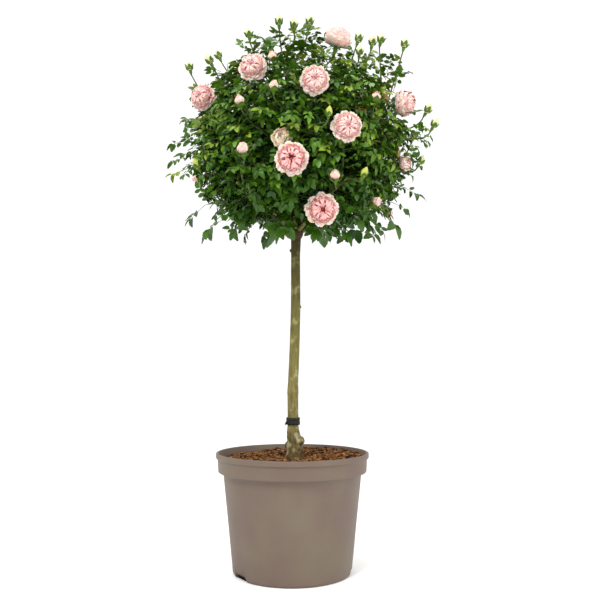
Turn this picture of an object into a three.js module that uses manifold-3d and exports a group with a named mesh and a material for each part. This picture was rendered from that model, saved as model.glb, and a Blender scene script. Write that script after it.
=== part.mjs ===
// A rose grown as a small standard tree: one bare stem in a nursery pot, with a round crown of
// leafy shoots, open blooms and buds at its top.
// Units are millimetres. +Z is up, -Y is the front, and the origin is the middle of the pot's flat foot.

import * as THREE from "three";
import { mergeVertices } from "three/addons/utils/BufferGeometryUtils.js";
import Module from "manifold-3d";

const wasm = await Module();
wasm.setup();

// ---------------------------------------------------------------- driving dimensions

const GAP = 0.3; // clearance between pieces that touch

const POT = {
  height: 200,
  rimRadius: 131,
  collarRadius: 127,
  shoulderRadius: 118.5, // outside of the wall just under the collar
  footRadius: 100.5,
  lipHeight: 9,
  collarHeight: 23,
  wall: 3,
  corner: 5,
  sides: 38,
};
const DRAIN = { azimuths: [-57, 82, 137, -112], width: 36, depth: 14, height: 9 };

const SOIL = { level: 187, lump: 3.2, mound: 7, sides: 24, flatRadius: 19 };

// The stem from the soil to the graft: height, sideways lean and radius at each station.
const STEM = [
  { z: SOIL.level + GAP, x: 3.6, radius: 14.5 },
  { z: 200, x: 3.6, radius: 13.6 },
  { z: 214, x: 3.2, radius: 13.2 },
  { z: 228, x: 1.8, radius: 12 },
  { z: 241, x: 1.2, radius: 9.5 },
  { z: 262, x: 0.9, radius: 9.2 },
  { z: 296, x: 0.6, radius: 9.3 },
  { z: 304, x: 0.6, radius: 10.2 },
  { z: 313, x: 0.8, radius: 9 },
  { z: 375, x: 3.4, radius: 8.7 },
  { z: 450, x: 5.4, radius: 8.4 },
  { z: 540, x: 5.2, radius: 8 },
  { z: 578, x: 6, radius: 9 },
];
const STEM_SIDES = 12;
const KNOTS = [
  { at: [13, -3, 219], radius: 8.5 }, // the burl beside the foot
  { at: [8, -9, 205], radius: 7 },
  { at: [-4, 6, 210], radius: 9 },
  { at: [13.2, -1, 450], radius: 2.6 },
  { at: [-2.6, -1, 550], radius: 3 },
];
const GRAFT = { at: [6, 0, 580], radius: 12.5 };
const TIE = { z: 252.4, x: 1, inner: 10.3, outer: 11.9, height: 12.6, sides: 14 };

const CROWN = { centre: [13, 0, 742], radius: 195, top: 158, bottom: 165, domeUp: 2, domeDown: 3.2 };
const LOWEST_LEAF = 541; // nothing green hangs below this

// Rings of limbs that leave the graft: how many, how steep, and where the ring starts.
const LIMB_RINGS = [
  { count: 5, elevation: 22, azimuth: 32 },
  { count: 5, elevation: 44, azimuth: 0 },
  { count: 3, elevation: 72, azimuth: 108 },
];
const LIMB = { radius: 3, tip: 2.5, bow: 7, handover: 0.36, end: 0.82 };

const SHOOT = { tries: 700, apart: 49, deep: -66, shallow: -44, clearOfFork: 62, clearOfPlane: 18 };
const TWIG = { radius: 1.8, tip: 1.4, bands: 2, slant: 1.2, setBack: 20, bend: 0.33 };
const TWIG_SHIFTS = [0, 0.1, -0.12, -0.24]; // places along its limb that a twig tries
const TWIG_STRAIGHTENING = [0, 0.35, 0.7, 1]; // and how straight it runs at each
const LEAF = { length: 66, vary: 0.32, width: 0.6, widest: 0.44, droop: 0.1, thick: 1.5 };
const LEAVES = { spacing: 18, fewest: 4, most: 6, apart: 12, spread: 1.1, endSpread: 0.3, lastRoot: 0.96 };
const LEAF_TRIES = 12; // places round its twig that a leaf tries, the later half smaller and inward
const PLANE_MARGIN = 1.2; // what a blade keeps from the planes between two masses
const WOOD_MARGIN = 6; // and from the bare wood of its limb
const GOLDEN_ANGLE = Math.PI * (3 - Math.sqrt(5));
const SEED = 2203;

// Shoots that reach beyond the round: azimuth and elevation on the crown, height of their ends
// above its outline.
const LONG_SHOOTS = [
  [-90, 0, -12],
  [-84, -9, -22],
  [92, 2, -10],
  [84, -13, -24],
  [172, 4, -26],
  [-40, 46, -34],
  [-72, -44, -38],
  [-46, -48, -38],
  [-18, -58, -42],
  [14, -60, -44],
  [42, -52, -38],
  [72, -42, -36],
  [98, -52, -40],
  [126, -44, -40],
  [158, -56, -42],
  [-168, -46, -38],
  [-142, -44, -40],
  [-112, -52, -40],
];

// Open blooms: azimuth and elevation on the crown, height above its outline, width, and the
// azimuth and elevation that the bloom faces. Azimuth 0 is the front and 90 is +X.
const BLOOMS = [
  [-29, 29, 2, 50, -12, 12],
  [7, 14, 4, 50, 4, -2],
  [29, 50, 26, 48, 24, 66],
  [-71, 20, 6, 50, -42, 4],
  [22, -7, 4, 55, 12, -8],
  [-3, -23, 5, 58, -2, -10],
  [15, -46, 4, 60, 8, -12],
  [-14, -11, -16, 30, -10, 16],
  [73, 16, 9, 50, 104, -6],
  [71, -16, 0, 26, 66, 14],
  [118, 36, 4, 52, 122, 30],
  [146, -6, 3, 56, 148, 0],
  [176, 26, 5, 52, 178, 22],
  [-150, 6, 3, 54, -152, 4],
  [-124, 38, 5, 50, -126, 34],
  [-106, -14, 4, 54, -108, -6],
  [-168, -34, 2, 54, -168, -16],
  [112, -32, 2, 52, 112, -14],
];

// Buds: azimuth, elevation, height above the outline and width. They lean outward and up.
const BUDS = [
  [-29, -17, 6, 19],
  [18, -29, 4, 16],
  [53, -38, 5, 17],
  [-12, 10, 3, 15],
  [-30, 6, 6, 16],
  [42, 11, 4, 16],
  [12, 0, 2, 12],
  [34, -27, 2, 13],
  [-19, 37, 14, 14],
  [-80, 30, 28, 14],
  [-60, 37, 27, 14],
  [-48, 55, 36, 14],
  [-24, 65, 44, 14],
  [-4, 68, 40, 14],
  [14, 66, 44, 14],
  [51, 51, 33, 14],
  [57, 46, 38, 14],
  [64, 40, 44, 14],
  [74, 36, 60, 14],
  [72, 7, 38, 14],
  [71, 1, 44, 14],
  [79, -9, 24, 14],
  [-67, -15, 8, 14],
  [96, 58, 40, 14],
  [134, 64, 36, 15],
  [162, 54, 40, 14],
  [-168, 66, 42, 14],
  [-142, 54, 36, 14],
  [-100, 48, 40, 14],
  [-112, 20, 24, 16],
  [-132, -12, 14, 17],
  [104, 8, 26, 14],
  [132, 16, 16, 18],
  [164, -14, 12, 16],
  [-174, 2, 20, 14],
];

// ---------------------------------------------------------------- colours

const finish = (color, roughness) => new THREE.MeshStandardMaterial({ color, roughness, metalness: 0 });
const TAUPE_PLASTIC = finish(0x8c7a6d, 0.5);
const COMPOST = finish(0x5a3320, 1);
const BARK = finish(0x7d7442, 0.8);
const BLACK_TAPE = finish(0x1b1c1a, 0.45);
const GREEN_WOOD = finish(0x5c6a2c, 0.75);
const FOLIAGE = finish(0x35601c, 0.55);

// ---------------------------------------------------------------- small helpers

const vec = (x, y, z) => new THREE.Vector3(x, y, z);
const UP = vec(0, 0, 1);
const FORK = vec(...GRAFT.at);
const CENTRE = vec(...CROWN.centre);
const radians = THREE.MathUtils.degToRad;
const along = (from, direction, distance) => from.clone().addScaledVector(direction, distance);
const mix = (a, b, share) => a.clone().lerp(b, share);

// The same number from 0 to 1 each time for the same keys.
function chance(...keys) {
  let hash = SEED;
  for (const key of keys) {
    hash = Math.imul(hash ^ (key + 101), 2654435761) >>> 0;
    hash = (hash ^ (hash >>> 15)) >>> 0;
  }
  return hash / 2 ** 32;
}

// The unit vector at an azimuth from the front towards +X, and an elevation, in degrees.
function compass(azimuth, elevation) {
  const a = radians(azimuth);
  const e = radians(elevation);
  return vec(Math.sin(a) * Math.cos(e), -Math.cos(a) * Math.cos(e), Math.sin(e));
}

// Two unit vectors square to a direction and to each other.
function crossPair(direction) {
  const helper = Math.abs(direction.z) > 0.9 ? vec(1, 0, 0) : UP;
  const first = helper.clone().cross(direction).normalize();
  return [first, direction.clone().cross(first)];
}

// ---------------------------------------------------------------- solids

// A closed skin through rings of points, each ring anticlockwise seen from the far end. The ends
// are flat, or run to a point where one is given.
function skin(rings, startPoint, endPoint) {
  const sides = rings[0].length;
  const points = rings.flat();
  const faces = [];
  const quad = (a, b, c, d) => faces.push(a, b, c, a, c, d);
  for (let ring = 0; ring + 1 < rings.length; ring += 1) {
    for (let side = 0; side < sides; side += 1) {
      const here = ring * sides + side;
      const next = ring * sides + ((side + 1) % sides);
      quad(here, next, next + sides, here + sides);
    }
  }
  const last = (rings.length - 1) * sides;
  for (let side = 0; side < sides; side += 1) {
    const next = (side + 1) % sides;
    if (startPoint) faces.push(points.length, next, side);
    else if (side > 0 && side < sides - 1) faces.push(0, side + 1, side);
    if (endPoint) faces.push(points.length + (startPoint ? 1 : 0), last + side, last + next);
    else if (side > 0 && side < sides - 1) faces.push(last, last + side, last + side + 1);
  }
  if (startPoint) points.push(startPoint);
  if (endPoint) points.push(endPoint);
  return new THREE.BufferGeometry().setFromPoints(points).setIndex(faces);
}

function ringOf(centre, axis, radiusAt, sides) {
  const [first, second] = crossPair(axis);
  return Array.from({ length: sides }, (_, side) => {
    const turn = (side / sides) * Math.PI * 2;
    const radius = typeof radiusAt === "function" ? radiusAt(side) : radiusAt;
    return along(along(centre, first, radius * Math.cos(turn)), second, radius * Math.sin(turn));
  });
}

// A round limb through the points, with a radius at each.
function limbSkin(points, radii, sides) {
  const rings = points.map((point, k) => {
    const ahead = points[Math.min(k + 1, points.length - 1)];
    const behind = points[Math.max(k - 1, 0)];
    return ringOf(point, ahead.clone().sub(behind).normalize(), radii[k], sides);
  });
  return skin(rings);
}

function solidOf(geometry) {
  const bare = new THREE.BufferGeometry()
    .setAttribute("position", geometry.getAttribute("position"))
    .setIndex(geometry.index);
  const merged = mergeVertices(bare, 1e-4);
  return new wasm.Manifold(
    new wasm.Mesh({
      numProp: 3,
      vertProperties: merged.getAttribute("position").array,
      triVerts: new Uint32Array(merged.index.array),
    }),
  );
}

function geometryOf(solid) {
  const mesh = solid.getMesh();
  return new THREE.BufferGeometry()
    .setAttribute("position", new THREE.BufferAttribute(mesh.vertProperties, 3))
    .setIndex(new THREE.BufferAttribute(mesh.triVerts, 1));
}

function ball(centre, radius, around, down) {
  return new THREE.SphereGeometry(radius, around, down).rotateX(Math.PI / 2).translate(...centre);
}

function turned(profile, sides) {
  const points = profile.map(([radius, z]) => new THREE.Vector2(radius, z));
  return new THREE.LatheGeometry(points, sides).rotateX(Math.PI / 2);
}

// ---------------------------------------------------------------- pot, soil, stem and tie

const collarFoot = POT.height - POT.lipHeight - POT.collarHeight;
const potRadiusAt = (z) => THREE.MathUtils.lerp(POT.footRadius, POT.shoulderRadius, z / collarFoot);

function makePot() {
  const { height, rimRadius, collarRadius, wall, corner } = POT;
  const lipFoot = height - POT.lipHeight;
  const outside = [
    [0, 0],
    [POT.footRadius - corner, 0],
    [potRadiusAt(corner), corner],
    [POT.shoulderRadius, collarFoot - 1],
    [collarRadius - 1, collarFoot],
    [collarRadius, collarFoot + 2],
    [collarRadius + 1, lipFoot - 1],
    [rimRadius - 1, lipFoot],
    [rimRadius, lipFoot + 2],
    [rimRadius, height - 2],
    [rimRadius - 2, height],
  ];
  const inside = [
    [rimRadius - wall - 2, height],
    [collarRadius - wall, lipFoot - 2],
    [collarRadius - wall - 1, collarFoot + 3],
    [POT.shoulderRadius - wall, collarFoot - 3],
    [POT.footRadius - wall, wall],
    [0, wall],
  ];
  const drains = DRAIN.azimuths.map((azimuth) => {
    const { width, depth, height: tall } = DRAIN;
    const cutter = new THREE.BoxGeometry(width, depth, tall * 2);
    return solidOf(cutter.translate(0, -POT.footRadius, 0).rotateZ(radians(azimuth)));
  });
  const body = solidOf(turned([...outside, ...inside], POT.sides));
  return geometryOf(wasm.Manifold.difference([body, ...drains]));
}

// Lumpy compost, level with the lip at the back and right, and flat where the stem stands.
function soilHeight(x, y) {
  const away = THREE.MathUtils.smoothstep(Math.hypot(x - STEM[0].x, y), SOIL.flatRadius, 60);
  const broad = Math.sin(x * 0.11 + 1.3) * Math.cos(y * 0.13 + 0.4);
  const fine = Math.sin(x * 0.23 - y * 0.19);
  const mound = Math.max(0, (x * 0.7 + y * 0.7) / POT.rimRadius);
  return SOIL.level + away * (SOIL.lump * (0.6 * broad + 0.36 * fine) + SOIL.mound * mound);
}

function makeSoil() {
  const inset = POT.wall + 1;
  const edge = POT.collarRadius - inset - 1.5;
  const below = [
    [POT.footRadius - inset - 1, POT.wall + GAP],
    [POT.shoulderRadius - inset - 0.6, collarFoot - 3],
    [edge - 1, collarFoot + 4],
  ];
  const circle = (radius, heightAt) => ringOf(vec(0, 0, 0), UP, radius, SOIL.sides).map(heightAt);
  const rings = below.map(([radius, z]) => circle(radius, (p) => p.setZ(z)));
  for (const share of [1, 0.84, 0.66, 0.48, 0.3]) {
    rings.push(circle(edge * share, (p) => p.setZ(soilHeight(p.x, p.y))));
  }
  const seat = ringOf(vec(STEM[0].x, 0, SOIL.level), UP, SOIL.flatRadius, SOIL.sides);
  return skin([...rings, seat]);
}

function makeStem() {
  const points = STEM.map(({ x, z }) => vec(x, 0, z));
  const rings = points.map((point, k) => ringOf(point, UP, STEM[k].radius, STEM_SIDES));
  const knots = KNOTS.map(({ at, radius }) => solidOf(ball(at, radius, 7, 5)));
  return geometryOf(wasm.Manifold.union([solidOf(skin(rings)), graftHead(0), ...knots]));
}

// The swollen graft at the top of the stem, grown by a clearance where limbs are fitted to it.
const graftHead = (clearance) => solidOf(ball(GRAFT.at, GRAFT.radius + clearance, 10, 6));

// Two turns of tape, as one band.
function makeTie() {
  const { inner, outer, height, sides } = TIE;
  const half = height / 2;
  const profile = [
    [inner, -half],
    [outer, -half],
    [outer, -1],
    [outer - 0.8, 0],
    [outer, 1],
    [outer, half],
    [inner, half],
    [inner, -half],
  ];
  return turned(profile, sides).translate(TIE.x, 0, TIE.z);
}

// ---------------------------------------------------------------- the crown's rule

// Distance from the crown's centre to its outline along a unit vector.
function outline(direction) {
  const rising = direction.z >= 0;
  const power = rising ? CROWN.domeUp : CROWN.domeDown;
  const level = Math.hypot(direction.x, direction.y) / CROWN.radius;
  const upright = Math.abs(direction.z) / (rising ? CROWN.top : CROWN.bottom);
  return (level ** power + upright ** power) ** (-1 / power);
}

const onCrown = (direction, lift) => along(CENTRE, direction, outline(direction) + lift);

// How far the outline is from the graft along an axis, found by halving.
function limbReach(axis) {
  let near = 0;
  let far = 2 * CROWN.radius;
  for (let step = 0; step < 20; step += 1) {
    const middle = (near + far) / 2;
    const fromCentre = along(FORK, axis, middle).sub(CENTRE);
    if (fromCentre.length() < outline(fromCentre.clone().normalize())) near = middle;
    else far = middle;
  }
  return near;
}

const LIMBS = LIMB_RINGS.flatMap(({ count, elevation, azimuth }) =>
  Array.from({ length: count }, (_, k) => {
    const axis = compass(azimuth + (360 * k) / count, elevation);
    return { axis, reach: limbReach(axis) };
  }),
);

// A point on a limb's arched line, at a share of the way from the graft to the outline.
function limbPoint(limb, share) {
  const arch = LIMB.bow * Math.sin(Math.PI * share);
  return along(along(FORK, limb.axis, limb.reach * share), UP, arch);
}

const limbRadius = (share) => THREE.MathUtils.lerp(LIMB.radius, LIMB.tip, share / LIMB.end);

function limbTangent(limb, share) {
  const rise = LIMB.bow * Math.PI * Math.cos(Math.PI * share);
  return along(limb.axis.clone().multiplyScalar(limb.reach), UP, rise).normalize();
}

// How far inside its own space a point lies: each mass owns the part of the crown nearest its axis.
function spaceMargin(limb, point) {
  const fromFork = point.clone().sub(FORK);
  const margins = LIMBS.filter((other) => other !== limb).map((other) => {
    const across = limb.axis.clone().sub(other.axis);
    return fromFork.dot(across) / across.length();
  });
  return Math.min(...margins);
}

function ownerOf(point) {
  const fromFork = point.clone().sub(FORK);
  const nearest = LIMBS.map((limb) => limb.axis.dot(fromFork));
  return LIMBS[nearest.indexOf(Math.max(...nearest))];
}

const FLOWERS = [
  ...BLOOMS.map(([azimuth, elevation, lift, width, faceAzimuth, faceElevation]) => ({
    at: onCrown(compass(azimuth, elevation), lift),
    facing: compass(faceAzimuth, faceElevation),
    width,
    keepOut: width * 0.56,
    open: width > 40,
  })),
  ...BUDS.map(([azimuth, elevation, lift, width], k) => {
    const outward = compass(azimuth, elevation);
    const sway = compass(360 * chance(k, 1), 0).multiplyScalar(0.25);
    return {
      at: onCrown(outward, lift),
      facing: outward.clone().multiplyScalar(0.7).add(UP).add(sway).normalize(),
      width,
      keepOut: width * 0.75,
      open: false,
    };
  }),
];

// True where a stretch from a to b, of half that thickness, stays out of every flower but its own,
// and out of the view of the open blooms.
function clearOfFlowers(a, b, half, own) {
  const stretch = new THREE.Line3(a, b);
  return FLOWERS.every((flower) => {
    if (flower === own) return true;
    const nearest = stretch.closestPointToPoint(flower.at, true, vec(0, 0, 0));
    if (nearest.distanceTo(flower.at) < flower.keepOut + half) return false;
    if (!flower.open) return true;
    const offset = nearest.sub(flower.at);
    const ahead = offset.dot(flower.facing);
    const aside = along(offset, flower.facing, -ahead).length();
    return ahead < 0 || ahead > flower.width || aside > flower.keepOut;
  });
}

const linesThrough = (points) => points.slice(1).map((point, k) => new THREE.Line3(points[k], point));
const limbLines = (limb, shares) => linesThrough(shares.map((share) => limbPoint(limb, share)));
const STEM_LINE = new THREE.Line3(FORK.clone().setZ(LOWEST_LEAF - LEAF.length), FORK);
for (const limb of LIMBS) {
  limb.bare = limbLines(limb, [0, 0.13, 0.26, LIMB.handover]);
  limb.leafy = limbLines(limb, [LIMB.handover, 0.52, 0.68, LIMB.end]);
}

// True where a blade's edges and midrib keep well away from the stem and the bare part of its limb.
function clearOfWood(blade, limb) {
  const [root, left, tip, right] = cornersOf(blade);
  const lines = linesThrough([root, left, tip, right, root, tip]);
  const near = (wood, distance) => lines.some((line) => line.distanceSqToLine3(wood) < distance ** 2);
  const nearLimb = limb.bare.some((wood) => near(wood, LIMB.radius + WOOD_MARGIN));
  return !nearLimb && !near(STEM_LINE, GRAFT.radius + 4);
}

function twigFits(line, limb, flower) {
  const controls = [line.v0, line.v1, line.v2, line.v3];
  if (controls.some((point) => spaceMargin(limb, point) < TWIG.radius + GAP)) return false;
  const stretches = [6, TWIG.bands].flatMap((bands) => linesThrough(line.getPoints(bands)));
  const room = (TWIG.radius + LIMB.radius + 1) ** 2;
  const onWood = (stretch) => limb.bare.some((wood) => stretch.distanceSqToLine3(wood) < room);
  if (stretches.some(onWood)) return false;
  return stretches.every(({ start, end }) => clearOfFlowers(start, end, TWIG.radius, flower));
}

// A twig's line leaves its limb at a slant and runs into its end along the way that end faces. It
// straightens, and then moves along its limb, until it fits.
function twigLine({ key, at, facing, limb, flower }) {
  const toEnd = at.clone().sub(FORK);
  const forward = toEnd.dot(limb.axis);
  const sideways = along(toEnd, limb.axis, -forward).length();
  const nearest = LIMB.handover + 0.05 + 0.16 * chance(key, 5);
  const onLimb = (share) => THREE.MathUtils.clamp(share, nearest, LIMB.end - 0.03);
  const wanted = onLimb((forward - TWIG.slant * sideways - TWIG.setBack) / limb.reach);
  for (const shift of TWIG_SHIFTS) {
    const root = limbPoint(limb, onLimb(wanted + shift));
    const reach = at.clone().sub(root);
    for (const straight of TWIG_STRAIGHTENING) {
      const start = mix(limb.axis, reach.clone().normalize(), 0.5 + 0.5 * straight);
      const finish = mix(facing, reach.clone().normalize(), straight);
      const span = reach.length() * TWIG.bend;
      const line = new THREE.CubicBezierCurve3(root, along(root, start, span), along(at, finish, -span), at);
      if (twigFits(line, limb, flower)) return line;
    }
  }
  return null;
}

// Ends of the leafy shoots. The long ones come first, and then each spot of a fine spiral over the
// crown that lies well in one mass's space and far enough from the ends before it.
function shootEnds() {
  const spiral = Array.from({ length: SHOOT.tries }, (_, k) => {
    const height = 1 - (2 * k + 1) / SHOOT.tries;
    const level = Math.sqrt(1 - height * height);
    const turn = k * GOLDEN_ANGLE;
    const outward = vec(level * Math.cos(turn), level * Math.sin(turn), height);
    return { outward, lift: SHOOT.deep + (SHOOT.shallow - SHOOT.deep) * chance(k, 2) };
  });
  const long = LONG_SHOOTS.map(([azimuth, elevation, lift]) => {
    return { outward: compass(azimuth, elevation), lift };
  });
  const ends = [];
  [...long, ...spiral].forEach(({ outward, lift }, k) => {
    const at = onCrown(outward, lift);
    const limb = ownerOf(at);
    const first = k < long.length;
    const inSpace = spaceMargin(limb, at) > (first ? TWIG.radius + GAP : SHOOT.clearOfPlane);
    const spaced = first || ends.every((other) => other.at.distanceTo(at) > SHOOT.apart);
    if (inSpace && spaced && at.distanceTo(FORK) > SHOOT.clearOfFork) {
      ends.push({ key: 1000 + k, at, facing: outward, limb });
    }
  });
  return ends;
}

// The crown's twigs, each with its line and the leaves it carries, in the order they grow.
function growTwigs() {
  const flowering = FLOWERS.map((flower, key) => {
    return { key, at: flower.at, facing: flower.facing, limb: ownerOf(flower.at), flower };
  });
  const twigs = [];
  for (const twig of [...flowering, ...shootEnds()]) {
    const line = twigLine(twig);
    if (line) twigs.push({ ...twig, line, points: line.getPoints(TWIG.bands), leaves: [] });
  }
  for (const twig of twigs) {
    const mates = twigs.filter(({ limb }) => limb === twig.limb);
    twig.leaves = leavesOf(twig, mates);
  }
  return twigs;
}

// A spot on a twig's solid, at a share of the way along it.
function onTwig({ points }, share) {
  const bands = points.length - 1;
  const band = Math.min(Math.floor(share * bands), bands - 1);
  return mix(points[band], points[band + 1], share * bands - band);
}

// The leaves of one twig. Each turns about the twig until it fits, and is left out if it never does.
function leavesOf(twig, mates) {
  const { key, line, limb, flower } = twig;
  const length = line.getLength();
  const stalk = flower ? Math.max(flower.width / 2 + 14, 44 - flower.width / 2) : 0;
  const last = Math.max(0.4, 1 - stalk / length);
  const room = Math.round((length * last) / LEAVES.spacing);
  const { fewest, most } = LEAVES;
  const count = flower ? Math.min(room, fewest) : THREE.MathUtils.clamp(room, fewest, most);
  const leaves = [];
  for (let k = 0; k < count; k += 1) {
    const share = last * (0.2 + (0.8 * (k + 1)) / count);
    const root = onTwig(twig, Math.min(share, LEAVES.lastRoot));
    const tangent = line.getTangent(share);
    const [first, second] = crossPair(tangent);
    const spread = share === 1 ? LEAVES.endSpread : LEAVES.spread;
    const wanted = LEAF.length * (1 - LEAF.vary / 2 + LEAF.vary * chance(key, k, 3));
    const inward = along(FORK, limb.axis, root.distanceTo(FORK)).sub(root).normalize();
    for (let attempt = 0; attempt < LEAF_TRIES; attempt += 1) {
      const turn = GOLDEN_ANGLE * (k + key) + (attempt * Math.PI) / 3;
      const direction = tangent.clone().addScaledVector(first, spread * Math.cos(turn));
      direction.addScaledVector(second, spread * Math.sin(turn));
      const late = attempt >= LEAF_TRIES / 2;
      if (late) direction.add(inward);
      const size = late ? wanted * 0.85 : wanted;
      direction.addScaledVector(UP, -0.25 * chance(key, k, 4)).normalize();
      const leaf = leafBlade(root, direction, size);
      if (leafFits(leaf, twig, mates, leaves)) {
        leaves.push(leaf);
        break;
      }
    }
  }
  return leaves;
}

// A blade that faces the light from above and outside, with three beads that stand for its room.
function leafBlade(root, direction, length) {
  const light = root.clone().sub(CENTRE).normalize().multiplyScalar(0.7).add(UP);
  const across = direction.clone().cross(light).normalize();
  const face = across.clone().cross(direction);
  const middle = along(root, direction, length * LEAF.widest);
  const tip = along(along(root, direction, length), face, -length * LEAF.droop);
  const beads = [mix(root, middle, 0.7), mix(middle, tip, 0.2), mix(middle, tip, 0.75)];
  return { root, tip, middle, across, face, beads, half: (length * LEAF.width) / 2 };
}

function leafFits(leaf, twig, mates, leaves) {
  const { root, tip, half, beads } = leaf;
  const corners = cornersOf(leaf);
  if (corners.some((point) => spaceMargin(twig.limb, point) < PLANE_MARGIN)) return false;
  if (corners.some((point) => point.z < LOWEST_LEAF) || !clearOfWood(leaf, twig.limb)) return false;
  if (!clearOfFlowers(mix(root, tip, 0.2), tip, half * 0.4, null)) return false;
  const others = [...leaves, ...mates.flatMap((mate) => mate.leaves)];
  const crowded = others.some((other) =>
    other.beads.some((spot) => beads.some((bead) => spot.distanceTo(bead) < LEAVES.apart)),
  );
  if (crowded || others.some((other) => bladesCross(leaf, other))) return false;
  const twigs = mates.filter((mate) => mate !== twig).flatMap((mate) => linesThrough(mate.points));
  const wood = [...twig.limb.leafy, ...twigs];
  return !wood.some(({ start, end }) => passesThrough(start, end, leaf));
}

// The four corners of a blade in order round it.
const cornersOf = ({ root, tip, middle, across, half }) => [
  root,
  along(middle, across, half),
  tip,
  along(middle, across, -half),
];

// True where the stretch from a to b passes through the blade.
function passesThrough(a, b, blade) {
  const [root, left, tip, right] = cornersOf(blade);
  const way = b.clone().sub(a);
  const ray = new THREE.Ray(a, way.clone().normalize());
  return [left, right].some((side) => {
    const hit = ray.intersectTriangle(root, side, tip, false, vec(0, 0, 0));
    return hit !== null && hit.distanceTo(a) < way.length();
  });
}

const edgesPass = (blade, other) => {
  const corners = cornersOf(blade);
  return corners.some((corner, k) => passesThrough(corner, corners[(k + 1) % 4], other));
};
const bladesCross = (blade, other) => edgesPass(blade, other) || edgesPass(other, blade);

// ---------------------------------------------------------------- the crown's solids

function leafSolid({ root, tip, middle, across, face, half }) {
  const thick = LEAF.thick / 2;
  const ring = [
    along(middle, across, half),
    along(middle, face, -thick),
    along(middle, across, -half),
    along(middle, face, thick),
  ];
  return solidOf(skin([ring], root, tip));
}

// A full bloom: petals rise from the hip, flare to a scalloped rim and fold in to a hollow heart.
function bloomSolid({ at, facing, width }) {
  const profile = [
    [0.14, -0.3, 0],
    [0.43, -0.14, 0.02],
    [0.47, 0.06, 0.03],
    [0.3, 0.2, 0.03],
  ];
  const rings = profile.map(([radius, height, scallop]) =>
    ringOf(
      along(at, facing, height * width),
      facing,
      (side) => width * (radius + (side % 2 ? scallop : -scallop)),
      8,
    ),
  );
  return solidOf(skin(rings, along(at, facing, -0.4 * width), along(at, facing, 0.1 * width)));
}

// A bud: a round hip under a pointed cone of petals held by the sepals.
function budSolid({ at, facing, width }) {
  const profile = [
    [0.3, -0.36],
    [0.5, 0.16],
  ];
  const rings = profile.map(([radius, height]) =>
    ringOf(along(at, facing, height * width), facing, width * radius, 5),
  );
  return solidOf(skin(rings, along(at, facing, -0.66 * width), along(at, facing, 1.02 * width)));
}

function twigSolids({ points, leaves, flower }) {
  const bands = points.length - 1;
  const radii = points.map((_, k) => THREE.MathUtils.lerp(TWIG.radius, TWIG.tip, k / bands));
  const solids = [solidOf(limbSkin(points, radii, 3)), ...leaves.map(leafSolid)];
  if (flower) solids.push(flower.open ? bloomSolid(flower) : budSolid(flower));
  return solids;
}

// A limb's solid between two shares of its line.
function limbSolid(limb, from, to, sides, bands) {
  const rings = Array.from({ length: bands + 1 }, (_, k) => {
    const share = from + ((to - from) * k) / bands;
    return ringOf(limbPoint(limb, share), limbTangent(limb, share), limbRadius(share), sides);
  });
  return solidOf(skin(rings));
}

// The bare limb, cut to sit on the graft.
function makeBough(limb) {
  const whole = limbSolid(limb, (0.6 * GRAFT.radius) / limb.reach, LIMB.handover, 6, 2);
  return geometryOf(whole.subtract(graftHead(GAP * 1.1)));
}

const CROWN_TWIGS = growTwigs();

function makeMass(limb) {
  const stem = limbSolid(limb, LIMB.handover + GAP / limb.reach, LIMB.end, 5, 3);
  const twigs = CROWN_TWIGS.filter((twig) => twig.limb === limb).flatMap(twigSolids);
  const pieces = wasm.Manifold.union([stem, ...twigs]).decompose();
  pieces.sort((a, b) => b.volume() - a.volume());
  return geometryOf(pieces[0]);
}

// ---------------------------------------------------------------- assembly

const rose = new THREE.Group();

function add(name, geometry, material) {
  const mesh = new THREE.Mesh(geometry, material);
  mesh.name = name;
  rose.add(mesh);
}

add("pot", makePot(), TAUPE_PLASTIC);
add("soil", makeSoil(), COMPOST);
add("stem", makeStem(), BARK);
add("stem_tie", makeTie(), BLACK_TAPE);
LIMBS.forEach((limb, k) => {
  add(`bough_${k + 1}`, makeBough(limb), GREEN_WOOD);
  add(`foliage_${k + 1}`, makeMass(limb), FOLIAGE);
});

export default rose;
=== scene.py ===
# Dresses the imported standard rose. The crown is grown by the same seeded rule as its solids, and the
# rule is carried on to finer shoots. Most blades of the solids become compound leaves here, and the
# rest are left out. Lengths are in millimetres until a mesh is made, which is in metres. +Z is up,
# -Y is the front, and the origin is the middle of the pot's foot.

import math

import bpy
import numpy as np
from mathutils import kdtree, Matrix, noise, Vector
from mathutils.geometry import intersect_ray_tri


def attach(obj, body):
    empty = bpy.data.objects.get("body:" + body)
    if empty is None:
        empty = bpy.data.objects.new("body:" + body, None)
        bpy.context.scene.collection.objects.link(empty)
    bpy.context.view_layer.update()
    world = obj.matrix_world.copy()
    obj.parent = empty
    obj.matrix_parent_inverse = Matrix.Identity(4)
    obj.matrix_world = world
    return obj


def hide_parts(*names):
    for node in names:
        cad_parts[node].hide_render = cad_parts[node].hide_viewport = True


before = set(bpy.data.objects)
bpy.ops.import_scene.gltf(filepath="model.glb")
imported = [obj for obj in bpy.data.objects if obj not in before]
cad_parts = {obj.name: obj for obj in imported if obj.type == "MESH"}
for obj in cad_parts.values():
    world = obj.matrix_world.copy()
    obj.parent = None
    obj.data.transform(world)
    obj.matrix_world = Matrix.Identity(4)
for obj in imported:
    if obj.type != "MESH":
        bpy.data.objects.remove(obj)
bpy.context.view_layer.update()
MM = 0.001

# ---------------------------------------------------------------- sizes shared with the solids

POT = {
    "height": 200, "rim": 131, "collar": 127, "shoulder": 118.5, "foot": 100.5, "lip_height": 9,
    "collar_height": 23, "wall": 3, "corner": 5,
}
DRAIN = {"azimuths": [-57, 82, 137, -112], "width": 36, "depth": 14, "height": 9}
SOIL = {"level": 187, "lump": 3.2, "mound": 7, "flat": 19}

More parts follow.
